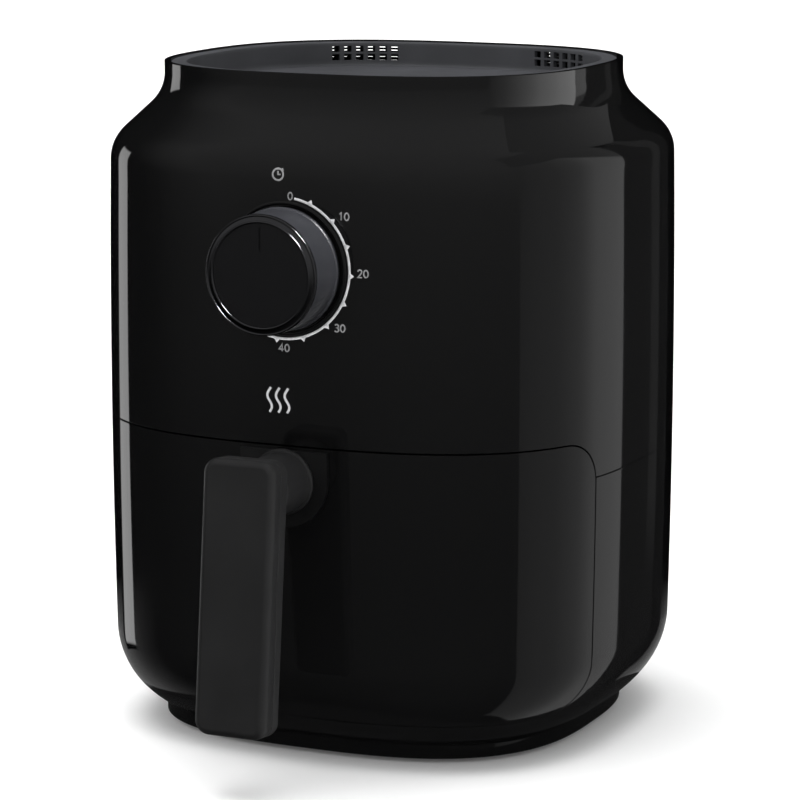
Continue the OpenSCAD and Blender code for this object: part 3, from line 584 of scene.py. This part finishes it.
def lower_shell():
    """Gloss shell under the drawer front and round the sides and the back, down to the skirt."""
    cy = DRAWER_Y - CORNER_LOW
    cz = DRAWER_Z0 + CORNER_LOW
    r = CORNER_LOW + DRAWER_GAP
    edge_y = DRAWER_Y + DRAWER_GAP
    skirt_top, split, steps = 5.5, 18.0, 8
    rounding = [BOTTOM_CZ - BOTTOM_R * math.sin(a * DEG) for a in range(60, 43, -4)]
    foot = [SKIRT_Z, skirt_top] + rounding + [split]
    # Strip below the drawer front.
    turns = spread(0, 90 * DEG, CORNER_STEPS)
    corner = [psi_at_y(cy + r * math.sin(a), cz - r * math.cos(a)) for a in turns]
    tops = [cz - r * math.cos(a) for a in turns]
    count = round(corner[0] / PSI_STEP)
    front = spread(0, corner[0], count)[:-1]
    right = front + corner
    right_tops = [cz - r] * len(front) + tops
    psis = mirrored(right)
    limits = list(reversed(right_tops[1:])) + right_tops
    columns = [
        [surface(p, z) for z in foot + spread(split, top, steps)[1:]]
        for p, top in zip(psis, limits)
    ]
    strip = grid([list(row) for row in zip(*columns)])
    # Sides and back.
    top_z = SEAM_Z - SEAM_GAP / 2
    rows = []
    for z in foot + spread(split, cz, steps)[1:] + spread(cz, top_z - SEAM_LIP, 9)[1:] + [top_z]:
        start = psi_at_y(edge_y, max(z, cz))
        reach = 2 * (math.pi - start)
        rows.append([surface(p, z) for p in spread(start, start + reach, 168)])
    verts, faces = join(strip, grid(rows))
    piece = make("lower_shell", verts, faces, "housing", LOOKS["gloss_black"])
    thicken(piece, WALL)
    round_edges(piece, 0.7)
    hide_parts("lower_housing")


# The pan's mouth in the top of the drawer front, and the front's wall.
MOUTH_W = 90.3
MOUTH_D = 89.3
MOUTH_N = 4.5
MOUTH_Y = -2.0
MOUTH_Z = 27.0
SKIN = 2.2


def mouth_x(y):
    """Half width of the pan's mouth at y."""
    share = min(1, abs(y - MOUTH_Y) / MOUTH_D)
    return MOUTH_W * (1 - share**MOUTH_N) ** (1 / MOUTH_N)


def drawer_edge(z):
    """How far back the drawer front's side edge lies at height z."""
    top_cz, low_cz = DRAWER_Z1 - CORNER_TOP, DRAWER_Z0 + CORNER_LOW
    if z > top_cz:
        return DRAWER_Y - CORNER_TOP + math.sqrt(max(0, CORNER_TOP**2 - (z - top_cz) ** 2))
    if z < low_cz:
        return DRAWER_Y - CORNER_LOW + math.sqrt(max(0, CORNER_LOW**2 - (low_cz - z) ** 2))
    return DRAWER_Y


def drawer_shell():
    """Gloss drawer front that wraps round both corners, open behind for the pan."""
    top_cz, low_cz = DRAWER_Z1 - CORNER_TOP, DRAWER_Z0 + CORNER_LOW
    low_arc = [low_cz - CORNER_LOW * math.sin(a) for a in spread(90 * DEG, 0, CORNER_STEPS)]
    floor_row = min(range(CORNER_STEPS + 1), key=lambda k: abs(low_arc[k] - MOUTH_Z))
    low_arc[floor_row] = MOUTH_Z
    top_arc = [top_cz + CORNER_TOP * math.sin(a) for a in spread(0, 90 * DEG, CORNER_STEPS)]
    heights = low_arc + spread(low_cz, top_cz, 16)[1:-1] + top_arc
    across = spread(-1, 1, 96)
    skin_rows = []
    for z in heights:
        limit = psi_at_y(drawer_edge(z), z)
        skin_rows.append([surface(s * limit, z) for s in across])
    skin = grid(skin_rows)
    # Rear edge of the shell, from the bottom corner up to the top one, on both sides.
    walls = []
    for side in (-1, 1):
        rows = []
        for z, row in zip(heights, skin_rows):
            outer = row[-1] if side > 0 else row[0]
            inner = (side * mouth_x(outer[1]), outer[1], z)
            points = [between_points(outer, inner, t) for t in (0, 0.5, 1)]
            rows.append(points if side > 0 else points[::-1])
        walls.append(grid(rows))
    middle = []
    for z in heights[: floor_row + 1]:
        y = drawer_edge(z)
        half = mouth_x(y)
        middle.append([(half, y, z), (-half, y, z)])
    walls.append(grid(middle))
    # Bottom, and top with the pan's mouth cut out of it.
    bottom = skin_rows[0]
    y = bottom[0][1]
    half = mouth_x(y)
    flat = [(-half, y, DRAWER_Z0), (half, y, DRAWER_Z0)]
    mid_l = between_points(bottom[0], flat[0])
    mid_r = between_points(bottom[-1], flat[1])
    loop = list(reversed(bottom)) + [mid_l, flat[0], flat[1], mid_r]
    walls.append((loop, [tuple(range(len(loop)))]))
    top = skin_rows[-1]
    y = top[0][1]
    mouth = []
    start = math.atan2(mouth_x(y), MOUTH_Y - y)
    for p in spread(-start, start, 48):
        across, ahead = round_square(p, MOUTH_W, MOUTH_D, MOUTH_N)
        mouth.append((across, MOUTH_Y - ahead, DRAWER_Z1))
    mid_l = between_points(top[0], mouth[0])
    mid_r = between_points(top[-1], mouth[-1])
    loop = list(top) + [mid_r] + list(reversed(mouth)) + [mid_l]
    walls.append((loop, [tuple(range(len(loop)))]))
    verts, faces = join(skin, *walls)
    piece = make("drawer_shell", verts, faces, "drawer", LOOKS["gloss_black"])
    thicken(piece, SKIN)
    round_edges(piece, 0.8)
    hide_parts("drawer_front")


def cover_ring(psi, z, inset):
    """Point of the neck's outline, so far inside the widest outline."""
    across, ahead = round_square(psi, HALF_W - inset, HALF_D - inset, SQUARE_NECK)
    return (across, -ahead, z)


def cover_dish():
    """The shallow dish in the top, its wall pierced by two rows of vents at the rear."""
    outer, inner, lip = 30.0, 32.0, 25.3
    top = RIM_Z - 0.6
    floor_z, fillet = top - 9.9, 1.5
    lows = [z for row in COVER_ROWS for z in row]
    profile = [(top - 13.4, outer + 3.0), (top - 11.4, outer)]
    profile += [(z, outer) for z in lows if z < top - 1.5] + [(top - 1.3, outer)]
    profile += [(top - 1.3, lip), (top - 0.4, lip), (top, lip + 0.4)]
    profile += [(top, inner - 0.5), (top - 0.15, inner - 0.15), (top - 0.5, inner)]
    profile += [(z, inner) for z in reversed(lows)]
    profile += [(floor_z, inner)]
    for a in (30 * DEG, 60 * DEG, 90 * DEG):
        profile.append((floor_z - fillet * math.sin(a), inner + fillet * (1 - math.cos(a))))
    right = clear_of(spread(0, math.pi, 120), vent_columns())
    psis = mirrored(right)
    rows = [[cover_ring(p, z, i) for p in psis] for z, i in profile]
    verts, faces = grid(rows)

    whole = [f for f in faces if not in_vent(*face_middle(verts, f), COVER_ROWS)]
    sheets = [(verts, whole)]
    sheets.append((rows[0][:-1], [tuple(range(len(psis) - 1))]))
    sheets.append((rows[-1][:-1], [tuple(range(len(psis) - 1))]))
    for low, high in COVER_ROWS:
        for i in [side * k for side in (-1, 1) for k in range(VENT_FIRST, VENT_LAST + 1)]:
            a, b = (math.pi + i * VENT_STEP + s * VENT_HALF for s in (-1, 1))
            ring = [(a, low), (b, low), (b, high), (a, high), (a, low)]
            sheets.append(grid([[cover_ring(p, z, i) for p, z in ring] for i in (outer, inner)]))
    piece = make("cover_dish", *join(*sheets), "housing", LOOKS["cover_grey"], closed=True)
    round_edges(piece, 0.25, segments=2)
    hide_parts("top_cover")


# ---- Timer knob and the dial printed round it ----

KNOB_FLARE = 0.7
KNOB_R = knob_hi.x - KNOB_FLARE
FACE_R = cap_hi.x
KNOB_BACK = knob_hi.y - BODY_Y
ROUND_STEPS = 144


def knob_parts():
    """The knob's body, its bright trim ring and its gloss face with the pointer."""
    front = min(cap_lo.y, knob_lo.y) - BODY_Y - 0.3
    shoulder, edge = front + 2.4, 0.5
    body = [(0, shoulder)]
    for a in spread(0, 90 * DEG, 5):
        body.append((KNOB_R - edge + edge * math.sin(a), shoulder + edge * (1 - math.cos(a))))
    skirt = KNOB_BACK - 1.8
    body += [(KNOB_R, skirt - 0.4), (KNOB_R + 0.1, skirt - 0.1), (KNOB_R + 0.4, skirt)]
    foot_r = KNOB_R + KNOB_FLARE
    body += [(foot_r, skirt + 0.3), (foot_r, KNOB_BACK), (0, KNOB_BACK)]
    sheet = lathe(body, KNOB_Z, ROUND_STEPS)
    piece = make("knob_body", *sheet, "timer", LOOKS["knob_grey"], closed=True)
    even_shading(piece)
    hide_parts("timer_knob")

    bead, outer_y = 0.55, front + 1.2
    ring = [(FACE_R, shoulder), (KNOB_R, shoulder)]
    turns = spread(0, 0.9 * math.pi, 9)
    for r, y in ((KNOB_R - bead, outer_y), (FACE_R + bead, front + bead)):
        ring += [(r + bead * math.cos(a), y - bead * math.sin(a)) for a in turns]
    ring += [(FACE_R, front + bead), ring[0]]
    sheet = lathe(ring, KNOB_Z, ROUND_STEPS)
    piece = make("knob_ring", *sheet, "timer", LOOKS["bright_trim"], closed=True)
    even_shading(piece)
    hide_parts("knob_trim")

    # Face disc with the pointer's groove, as two halves meeting on the upright line.
    face_y, back_y, floor_y = front + 0.6, shoulder, front + 1.2
    r, wide, low, high = FACE_R, 0.5, 10.5, 20.5
    sheets = []
    for side in (-1, 1):
        rim = [(side * r * math.sin(a), r * math.cos(a)) for a in spread(0, math.pi, 72)]
        groove = [(0, low), (side * wide, low), (side * wide, high), (0, high)]
        outline = [(x, face_y, KNOB_Z + z) for x, z in rim + groove]
        sheets.append((outline, [tuple(range(len(outline)))]))
        outline = [(x, back_y, KNOB_Z + z) for x, z in rim]
        sheets.append((outline, [tuple(range(len(outline)))]))
        sheets.append(grid([[(x, y, KNOB_Z + z) for x, z in rim] for y in (face_y, back_y)]))
        sheets.append(grid([[(x, y, KNOB_Z + z) for x, z in groove] for y in (face_y, floor_y)]))
        sheets.append(([(x, floor_y, KNOB_Z + z) for x, z in groove], [(0, 1, 2, 3)]))
    piece = make("knob_disc", *join(*sheets), "timer", LOOKS["knob_face"], closed=True)
    round_edges(piece, 0.12, segments=2)
    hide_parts("knob_cap")


def dial_ring():
    """Low raised ring on the shell round the knob."""
    inner, outer, sunk, base, crown = KNOB_R + 1.3, KNOB_R + 3.2, -0.3, 0.2, 0.7
    mid, half = (inner + outer) / 2, (outer - inner) / 2
    profile = [(outer, sunk)]
    for a in spread(0, math.pi, 12):
        profile.append((mid + half * math.cos(a), base + crown * math.sin(a)))
    profile += [(inner, sunk), (outer, sunk)]
    turns = spread(0, 2 * math.pi, ROUND_STEPS)
    rows = []
    for r, proud in profile:
        rows.append([on_front(r * math.sin(a), KNOB_Z + r * math.cos(a), proud) for a in turns])
    piece = make("dial_ring", *grid(rows), "housing", LOOKS["gloss_black"], closed=True)


def ribbon(points, width, loop=False):
    """Right and left edges of a stroke of even width along (x, z) points."""
    count = len(points)
    right, left = [], []
    for i, (x, z) in enumerate(points):
        before = points[i - 1] if i or loop else points[i]
        after = points[(i + 1) % count] if i < count - 1 or loop else points[i]
        ux, uz = x - before[0], z - before[1]
        vx, vz = after[0] - x, after[1] - z
        lu, lv = math.hypot(ux, uz) or 1, math.hypot(vx, vz) or 1
        tx, tz = ux / lu + vx / lv, uz / lu + vz / lv
        size = math.hypot(tx, tz)
        tx, tz = tx / size, tz / size
        reach = width / 2 / max(0.5, size / 2 if (i or loop) and (i < count - 1 or loop) else 1)
        right.append((x + tz * reach, z - tx * reach))
        left.append((x - tz * reach, z + tx * reach))
    if loop:
        right.append(right[0])
        left.append(left[0])
    return right, left


INK_LIFT = 0.02
INK_DEPTH = 0.05


def printed(name, strokes, ink=SILVER):
    """Ink lying on the shell's front, from right and left edges of strokes."""
    sheets = []
    for stroke in strokes:
        sheets.append(grid([[on_front(x, z, INK_LIFT) for x, z in edge] for edge in stroke]))
    piece = make(name, *join(*sheets), "housing", ink)
    thicken(piece, INK_DEPTH, 1)


def moved(stroke, x, z, size):
    """A stroke of unit size, made larger and put at (x, z)."""
    return [(x + size * u, z + size * v) for u, v in stroke]


# Strokes of numerals one unit high.
ROUND = [(0.27 * math.sin(a), 0.42 * math.cos(a)) for a in spread(0, 2 * math.pi, 20)[:-1]]
DIGITS = {
    "0": [(ROUND, True)],
    "1": [([(-0.14, 0.26), (0.06, 0.44), (0.06, -0.44)], False)],
    "2": [([(-0.25, 0.22), (-0.19, 0.37), (-0.04, 0.44), (0.13, 0.41), (0.23, 0.28), (0.2, 0.1),
            (0.03, -0.14), (-0.26, -0.44), (0.28, -0.44)], False)],
    "3": [([(-0.24, 0.33), (-0.1, 0.43), (0.1, 0.42), (0.22, 0.3), (0.19, 0.13), (0.02, 0.04),
            (0.21, -0.07), (0.26, -0.25), (0.12, -0.41), (-0.1, -0.43), (-0.26, -0.32)], False)],
    "4": [([(0.1, -0.44), (0.1, 0.44), (-0.3, -0.18), (0.3, -0.18)], False)],
}
# Where the dial's numbers stand, across and up from the knob's middle.
DIGIT_AT = {
    "0": (2.9, 31.4),
    "10": (28, 23.8),
    "20": (36.8, -0.4),
    "30": (26.3, -24.5),
    "40": (0, -34.7),
}
DIGIT_SIZE = 3.7
DIGIT_STEP = 0.74
DIGIT_LINE = 0.175


def numeral(text, x, z, size):
    """A number's strokes, its middle at (x, z)."""
    strokes = []
    step = size * DIGIT_STEP
    for k, digit in enumerate(text):
        at = x + (k - (len(text) - 1) / 2) * step
        for points, loop in DIGITS[digit]:
            strokes.append(ribbon(moved(points, at, z, size), size * DIGIT_LINE, loop))
    return strokes


def dial_print():
    """The toothed scale, its numbers, the clock sign and the sign for hot air."""
    minute = 4.66 * DEG
    first, last = 9 * DEG, 60 * minute
    inner, outer, tooth, tooth_half = 30.2, 31.3, 1.6, 2.2 * DEG
    ticks = [5 * k * minute for k in range(1, 12)]
    turns = set(spread(first, last, 120))
    for t in ticks:
        turns |= {t - tooth_half, t, t + tooth_half}
    turns = sorted(turns)

    def edge(turn):
        peak = max(max(0, 1 - abs(turn - t) / tooth_half) for t in ticks)
        return outer + tooth * peak

    ring = [
        [(r(a) * math.sin(a), KNOB_Z + r(a) * math.cos(a)) for a in turns]
        for r in (lambda a: inner, edge)
    ]
    printed("dial_scale", [ring])
    strokes = []
    for text, (x, z) in DIGIT_AT.items():
        strokes += numeral(text, x, KNOB_Z + z, DIGIT_SIZE)
    printed("dial_numbers", strokes, FAINT)
    cx, cz, r = -3.0, KNOB_Z + 40.5, 2.5
    face = [(cx + r * math.sin(a), cz + r * math.cos(a)) for a in spread(0, 2 * math.pi, 32)[:-1]]
    hands = [(cx, cz + 1.5), (cx, cz), (cx + 1.3, cz)]
    crown = [(cx + r + 0.1, cz + r - 0.9), (cx + r - 0.8, cz + r + 0.1)]
    icon = [ribbon(face, 0.85, True), ribbon(hands, 0.7), ribbon(crown, 0.8)]
    printed("clock_mark", icon, FAINT)
    waves = []
    wave_z, tall, apart, swing, line_width = KNOB_Z - 58, 11, 4.2, 1.1, 1.1
    for k in (-1, 0, 1):
        line = [
            (cx + apart * k + swing * math.sin(2.2 * math.pi * t), wave_z + tall * (t - 0.5))
            for t in spread(0, 1, 24)
        ]
        waves.append(ribbon(line, line_width))
    printed("hot_air_mark", waves)


# ---- Handle ----

GRIP_W = grip_hi.x - grip_lo.x
GRIP_T = 16.0
GRIP_LEN = 119.6
GRIP_TILT = math.atan2(12, 119)
GRIP_Y = -162.0
GRIP_Z = 147.0
GRIP_EDGE = 3.2
GRIP_CORNER = 6.5
GRIP_STEPS = 10
STEM_R = 13.5
STEM_Z = 129.5
STEM_STEPS = 96


def on_grip(x, depth, z):
    """Point of the tilted grip: z down from its top, depth back from its front face."""
    s, c = math.sin(GRIP_TILT), math.cos(GRIP_TILT)
    return (x, GRIP_Y + depth * c + z * s, GRIP_Z - depth * s + z * c)


def grip_ring(depth, inset):
    """The grip's rounded outline at a depth, so far inside its widest outline."""
    half_x, half_z = GRIP_W / 2 - inset, GRIP_LEN / 2 - inset
    r = max(1.0, GRIP_CORNER - inset)
    ring = []
    for quarter, (sx, sz) in enumerate(((1, 1), (-1, 1), (-1, -1), (1, -1))):
        for a in spread(quarter * 90 * DEG, (quarter + 1) * 90 * DEG, GRIP_STEPS):
            x = sx * (half_x - r) + r * math.cos(a)
            z = sz * (half_z - r) + r * math.sin(a) - GRIP_LEN / 2
            ring.append(on_grip(x, depth, z))
    return ring + [ring[0]]


def grip_half(name, profile, cad):
    """Half of the grip from (depth, inset) places."""
    rows = [grip_ring(depth, inset) for depth, inset in profile]
    ends = [(row[:-1], [tuple(range(len(row) - 1))]) for row in (rows[0], rows[-1])]
    piece = make(name, *join(grid(rows), *ends), "drawer", LOOKS["soft_black"], closed=True)
    even_shading(piece)
    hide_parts(cad)


def handle_parts():
    """Both halves of the grip, and the stem from the mounting plate to the grip's back."""
    e = GRIP_EDGE
    rounding = [(e * (1 - math.cos(a)), e * (1 - math.sin(a))) for a in spread(0, 90 * DEG, 9)]
    mid, seam, bevel = GRIP_T / 2, 0.05, 0.35
    front = rounding + [(mid - seam - bevel, 0), (mid - seam, bevel)]
    grip_half("grip_front", front, "handle_grip")
    back = [(mid + seam, bevel), (mid + seam + bevel, 0)]
    back += [(GRIP_T - depth, inset) for depth, inset in reversed(rounding)]
    grip_half("grip_back", back, "handle_back")

    plate_y = plate_lo.y - BODY_Y
    wider, land, fall = 1.2, 0.9, 1.1
    flare = [(STEM_R + wider, plate_y), (STEM_R + wider, plate_y - land)]
    for a in spread(15 * DEG, 90 * DEG, 6):
        flare.append((STEM_R + wider * math.cos(a), plate_y - land - fall * math.sin(a)))
    flare += [(STEM_R, y) for y in spread(plate_y - 2.4, GRIP_Y + GRIP_T, 4)[:-1]]
    verts, _ = lathe(flare, STEM_Z, STEM_STEPS)
    width = STEM_STEPS + 1
    rows = [verts[i * width : (i + 1) * width] for i in range(len(flare))]
    # The last row follows the tilted back of the grip.
    s, c = math.sin(GRIP_TILT), math.cos(GRIP_TILT)
    rows.append([(x, GRIP_Y + (GRIP_T + (z - GRIP_Z) * s) / c, z) for x, _, z in rows[-1]])
    ends = [(row[:-1], [tuple(range(STEM_STEPS))]) for row in (rows[0], rows[-1])]
    piece = make("stem", *join(grid(rows), *ends), "drawer", LOOKS["soft_black"], closed=True)
    even_shading(piece)
    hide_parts("handle_stem")


upper_shell()
lower_shell()
drawer_shell()
cover_dish()
knob_parts()
dial_ring()
dial_print()
handle_parts()

# ---- Camera, light and floor ----

TARGET_Z = 0.1454
TARGET = Vector((0, BODY_Y * MM, TARGET_Z))
AZIMUTH = 24.3 * DEG
ELEVATION = 10.56 * DEG
DISTANCE = 1.596
LENS = 154.1
SHIFT_X = 0.0059


def toward(azimuth, elevation):
    """Unit vector at an azimuth from -Y towards +X and an elevation."""
    level = math.cos(elevation)
    return Vector((math.sin(azimuth) * level, -math.cos(azimuth) * level, math.sin(elevation)))


back = toward(AZIMUTH, ELEVATION)
camera = bpy.data.objects.new("camera", bpy.data.cameras.new("camera"))
bpy.context.scene.collection.objects.link(camera)
camera.location = TARGET + back * DISTANCE
camera.rotation_euler = (-back).to_track_quat("-Z", "Y").to_euler()
camera.data.lens = LENS
camera.data.sensor_width = 36
camera.data.shift_x = SHIFT_X
bpy.context.scene.camera = camera
bpy.context.scene.view_settings.view_transform = "Standard"


def stage_mesh(name, verts, faces, material):
    """Part of the studio, not of the object."""
    mesh = bpy.data.meshes.new(name)
    mesh.from_pydata(verts, [], faces)
    piece = bpy.data.objects.new(name, mesh)
    bpy.context.scene.collection.objects.link(piece)
    mesh.materials.append(material)
    return piece


def pale_floor():
    """Plain white floor without gloss."""
    m = Nodes("floor_pale", (0.97, 0.97, 0.97), 0.6)
    m.shader.inputs["Specular IOR Level"].default_value = 0.0
    m.tint(m.noise(2, 2), (0.965, 0.965, 0.965), (0.975, 0.975, 0.975))
    m.shader.inputs["Emission Color"].default_value = (1, 1, 1, 1)
    m.shader.inputs["Emission Strength"].default_value = 0.03
    half = 30.0
    corners = [(-half, -half, 0), (half, -half, 0), (half, half, 0), (-half, half, 0)]
    floor = stage_mesh("floor", corners, [(0, 1, 2, 3)], m.material)
    floor.visible_glossy = False


def along(points, at):
    """Value at a place between (place, value) points, straight between them, 0 outside."""
    for (a, u), (b, v) in zip(points, points[1:]):
        if a <= at <= b:
            return u + (v - u) * (at - a) / (b - a)
    return 0.0


def glow_material():
    """Light whose strength each panel carries in its own points."""
    material = bpy.data.materials.new("panel_glow")
    material.use_nodes = True
    tree = material.node_tree
    tree.nodes.clear()
    strength = tree.nodes.new("ShaderNodeAttribute")
    strength.attribute_name = "glow"
    glow = tree.nodes.new("ShaderNodeEmission")
    out = tree.nodes.new("ShaderNodeOutputMaterial")
    tree.links.new(strength.outputs["Fac"], glow.inputs["Strength"])
    tree.links.new(glow.outputs["Emission"], out.inputs["Surface"])
    return material


def light_panel(name, azimuths, rim, strength, centre_y=0.0, diffuse=False):
    """Curved panel round the object through (radius, z) points, its azimuth from -Y towards +X.

    It is seen in gloss only, or lights the matt surfaces only.
    """
    rows = [
        [(r * math.sin(a * DEG), centre_y - r * math.cos(a * DEG), z) for a in azimuths]
        for r, z in rim
    ]
    verts, faces = grid(rows)
    panel = stage_mesh(name, verts, faces, GLOW)
    glow = panel.data.attributes.new("glow", "FLOAT", "POINT")
    values = [strength(a, math.atan2(z, r) / DEG) for r, z in rim for a in azimuths]
    glow.data.foreach_set("value", values)
    panel.visible_camera = False
    panel.visible_diffuse = diffuse
    panel.visible_glossy = not diffuse
    panel.visible_shadow = False
    panel.visible_transmission = False
    return panel


def light_only(light, names):
    """Lets a light fall on the named pieces and nothing else."""
    receivers = bpy.data.collections.new(light.name + "_receivers")
    for name in names:
        receivers.objects.link(bpy.data.objects[name])
    light.light_linking.receiver_collection = receivers


def knob_lamp():
    """Soft lamp from the upper right for the knob alone."""
    towards, away, knob_y = toward(55 * DEG, 50 * DEG), 1.2, -0.16
    lamp = bpy.data.lights.new("knob_lamp", "AREA")
    lamp.shape = "RECTANGLE"
    lamp.size = 0.30
    lamp.size_y = 0.42
    lamp.energy = 29
    light = bpy.data.objects.new("knob_lamp", lamp)
    bpy.context.scene.collection.objects.link(light)
    light.location = Vector((0, knob_y, KNOB_Z * MM)) + towards * away
    light.rotation_euler = towards.to_track_quat("Z", "Y").to_euler()
    light_only(light, ["knob_body", "knob_ring"])


def far_rim(low, high, count, share=1.0):
    """Radius and height of far points between two elevations."""
    away = share * FAR
    return [(away, away * math.tan(e * DEG)) for e in spread(low, high, count)]


GLOW = glow_material()
FAR = 3.0
KEY_GLOW, FILL_GLOW, TOP_GLOW, CARD_GLOW, PAINTED_SHADOW_GLOW = 13.0, 4.4, 4.4, 0.15, 0.02
NECK_SHARE = 0.9
WHITE_GLOW = 1.1
# How bright the panel at the right and the one beside the neck are, by azimuth.
RIGHT_GLOW = [
    (71, 0.2), (80, 0.24), (90, 0.265), (100, 0.275), (106, 0.315), (112, 0.345),
    (119, 0.39), (125, 0.48), (131, 0.57), (137, 0.545), (143, 0.505), (150.5, 0.465),
]
NECK_GLOW = [(50, 0.25), (56, 0.48), (62, 0.85), (67, 1.15), (72, 1.5), (84, 1.66), (95.5, 1.55)]


def right_strength(azimuth, elevation):
    """Tall panel at the right, dimmer above its upper edge, which falls towards the back."""
    top = 42 if azimuth < 118 else 42 - 0.87 * (azimuth - 118)
    fade = min(1, max(0, (top - elevation) / 1.5))
    return along(RIGHT_GLOW, azimuth) * fade + 0.17 * (1 - fade)


def tail_strength(azimuth, elevation):
    """Faint light behind the right panel, with one brighter upright line."""
    line = 159 < azimuth < 163.5 and -12 < elevation
    return 0.06 if line else 0.028 if azimuth < 163 else 0.015


def rear_strength(azimuth, elevation):
    """Pale ground behind the object, seen only in its back."""
    sides = min(1, (azimuth - 160) / 25, (290 - azimuth) / 40)
    return 0.24 * sides * min(1, (-12.5 - elevation) / 1.5)


def neck_strength(azimuth, elevation):
    """Strip beside the neck, brighter towards the back."""
    return NECK_SHARE * along(NECK_GLOW, azimuth)


def left_strength(azimuth, elevation):
    """Narrow bright panel at the left, with soft edges and ends."""
    outer = -113.0 + 0.32 * min(0, elevation + 6)
    edge = min(1, max(0, (azimuth - outer) / 1.2))
    ends = min(1, max(0, (17.5 - elevation) / 1.5)) * min(1, max(0, (elevation + 18) / 1.5))
    return (1.25 + 0.04 * (azimuth + 113)) * edge * ends


def world_light():
    """White for the floor and the matt parts, a dim front light for reflections."""
    world = bpy.data.worlds.new("studio")
    bpy.context.scene.world = world
    world.use_nodes = True
    tree = world.node_tree
    tree.nodes.clear()

    def add(kind, **values):
        node = tree.nodes.new(kind)
        for key, value in values.items():
            setattr(node, key, value)
        return node

    def ramp(source, stops):
        node = add("ShaderNodeValToRGB")
        tree.links.new(source, node.inputs["Fac"])
        elements = node.color_ramp.elements
        while len(elements) < len(stops):
            elements.new(0.5)
        for element, (place, value) in zip(elements, stops):
            element.position = place
            element.color = (value, value, value, 1)
        return node.outputs["Color"]

    def remap(source, low, high):
        node = add("ShaderNodeMapRange")
        node.inputs["From Min"].default_value = low
        node.inputs["From Max"].default_value = high
        tree.links.new(source, node.inputs["Value"])
        return node.outputs["Result"]

    # The dim light grows with height and stays in front of the object.
    direction = add("ShaderNodeTexCoord").outputs["Generated"]
    parts = add("ShaderNodeSeparateXYZ")
    tree.links.new(direction, parts.inputs[0])
    lift = ramp(
        remap(parts.outputs["Z"], -0.4, 1.0),
        [(0, 0.02), (0.1, 0.04), (0.158, 0.078), (0.198, 0.12), (0.224, 0.16),
         (0.277, 0.2), (0.5, 0.215), (0.77, 0.25)],
    )
    facing = add("ShaderNodeVectorMath", operation="DOT_PRODUCT")
    side = 25 * DEG
    facing.inputs[1].default_value = (math.sin(side), -math.cos(side), 0.6)
    tree.links.new(direction, facing.inputs[0])
    front = ramp(remap(facing.outputs["Value"], -0.3, 0.4), [(0, 0.0), (0.3, 0.15), (1, 1.0)])
    product = add("ShaderNodeMath", operation="MULTIPLY")
    tree.links.new(lift, product.inputs[0])
    tree.links.new(front, product.inputs[1])
    dim = add("ShaderNodeBackground")
    dim.inputs["Color"].default_value = (1, 1, 1, 1)
    tree.links.new(product.outputs["Value"], dim.inputs["Strength"])
    white = add("ShaderNodeBackground")
    white.inputs["Color"].default_value = (1, 1, 1, 1)
    white.inputs["Strength"].default_value = WHITE_GLOW
    path = add("ShaderNodeLightPath")
    mix = add("ShaderNodeMixShader")
    out = add("ShaderNodeOutputWorld")
    tree.links.new(path.outputs["Is Glossy Ray"], mix.inputs["Fac"])
    tree.links.new(white.outputs["Background"], mix.inputs[1])
    tree.links.new(dim.outputs["Background"], mix.inputs[2])
    tree.links.new(mix.outputs["Shader"], out.inputs["Surface"])


pale_floor()
world_light()
light_panel("right_panel", spread(71, 150.5, 53), far_rim(-66, 62, 128), right_strength)
light_panel("tail_panel", spread(150.5, 172, 43), far_rim(-40, 29, 30), tail_strength)
light_panel("left_panel", spread(-119, -97, 44), far_rim(-20, 20, 60), left_strength)
# The handle's own light stands behind the right panel, so that the shells don't show it.
key_rim = far_rim(16, 56, 8, 1.03)
key = light_panel("key_panel", spread(72, 115, 10), key_rim, lambda a, e: KEY_GLOW, diffuse=True)
key.visible_glossy = True
light_only(key, ["grip_front", "grip_back", "stem"])
knob_lamp()
fill_rim, top_rim = far_rim(60, 78, 6), far_rim(70, 88, 8)
light_panel("fill_panel", spread(-130, 0, 14), fill_rim, lambda a, e: FILL_GLOW, diffuse=True)
light_panel("top_panel", spread(-180, 180, 36), top_rim, lambda a, e: TOP_GLOW, diffuse=True)
light_panel("rear_panel", spread(160, 290, 52), far_rim(-50, -12.5, 20, 1.1), rear_strength)
# Close to the object stand a strip beside the neck, a dim card under it, and underfoot a dark card
# seen only in reflections: painted shadow standing in for the floor's contact shadow under the
# base.
CARD_LAP = 0.0001
NECK_AZ = spread(50, 95.5, 30)
NECK_R, NECK_LOW, NECK_HIGH = 0.128, (RIM_Z - 14) * MM, (RIM_Z + 8) * MM
neck_rim = [(NECK_R, NECK_LOW), (NECK_R, NECK_HIGH)]
light_panel("neck_panel", NECK_AZ, neck_rim, neck_strength, BODY_Y * MM)
card_rim = [(0.106, NECK_LOW), (NECK_R + CARD_LAP, NECK_LOW)]
light_panel("neck_card", NECK_AZ, card_rim, lambda a, e: CARD_GLOW, BODY_Y * MM)
# Dark disc on the floor round the base, seen in gloss only: painted contact shadow in the lower
# shell's reflections.
painted_shadow_rim = [(0.06, 0.0005), (0.128, 0.0005)]
light_panel("foot_card", spread(-180, 180, 96), painted_shadow_rim, lambda a, e: PAINTED_SHADOW_GLOW, BODY_Y * MM)
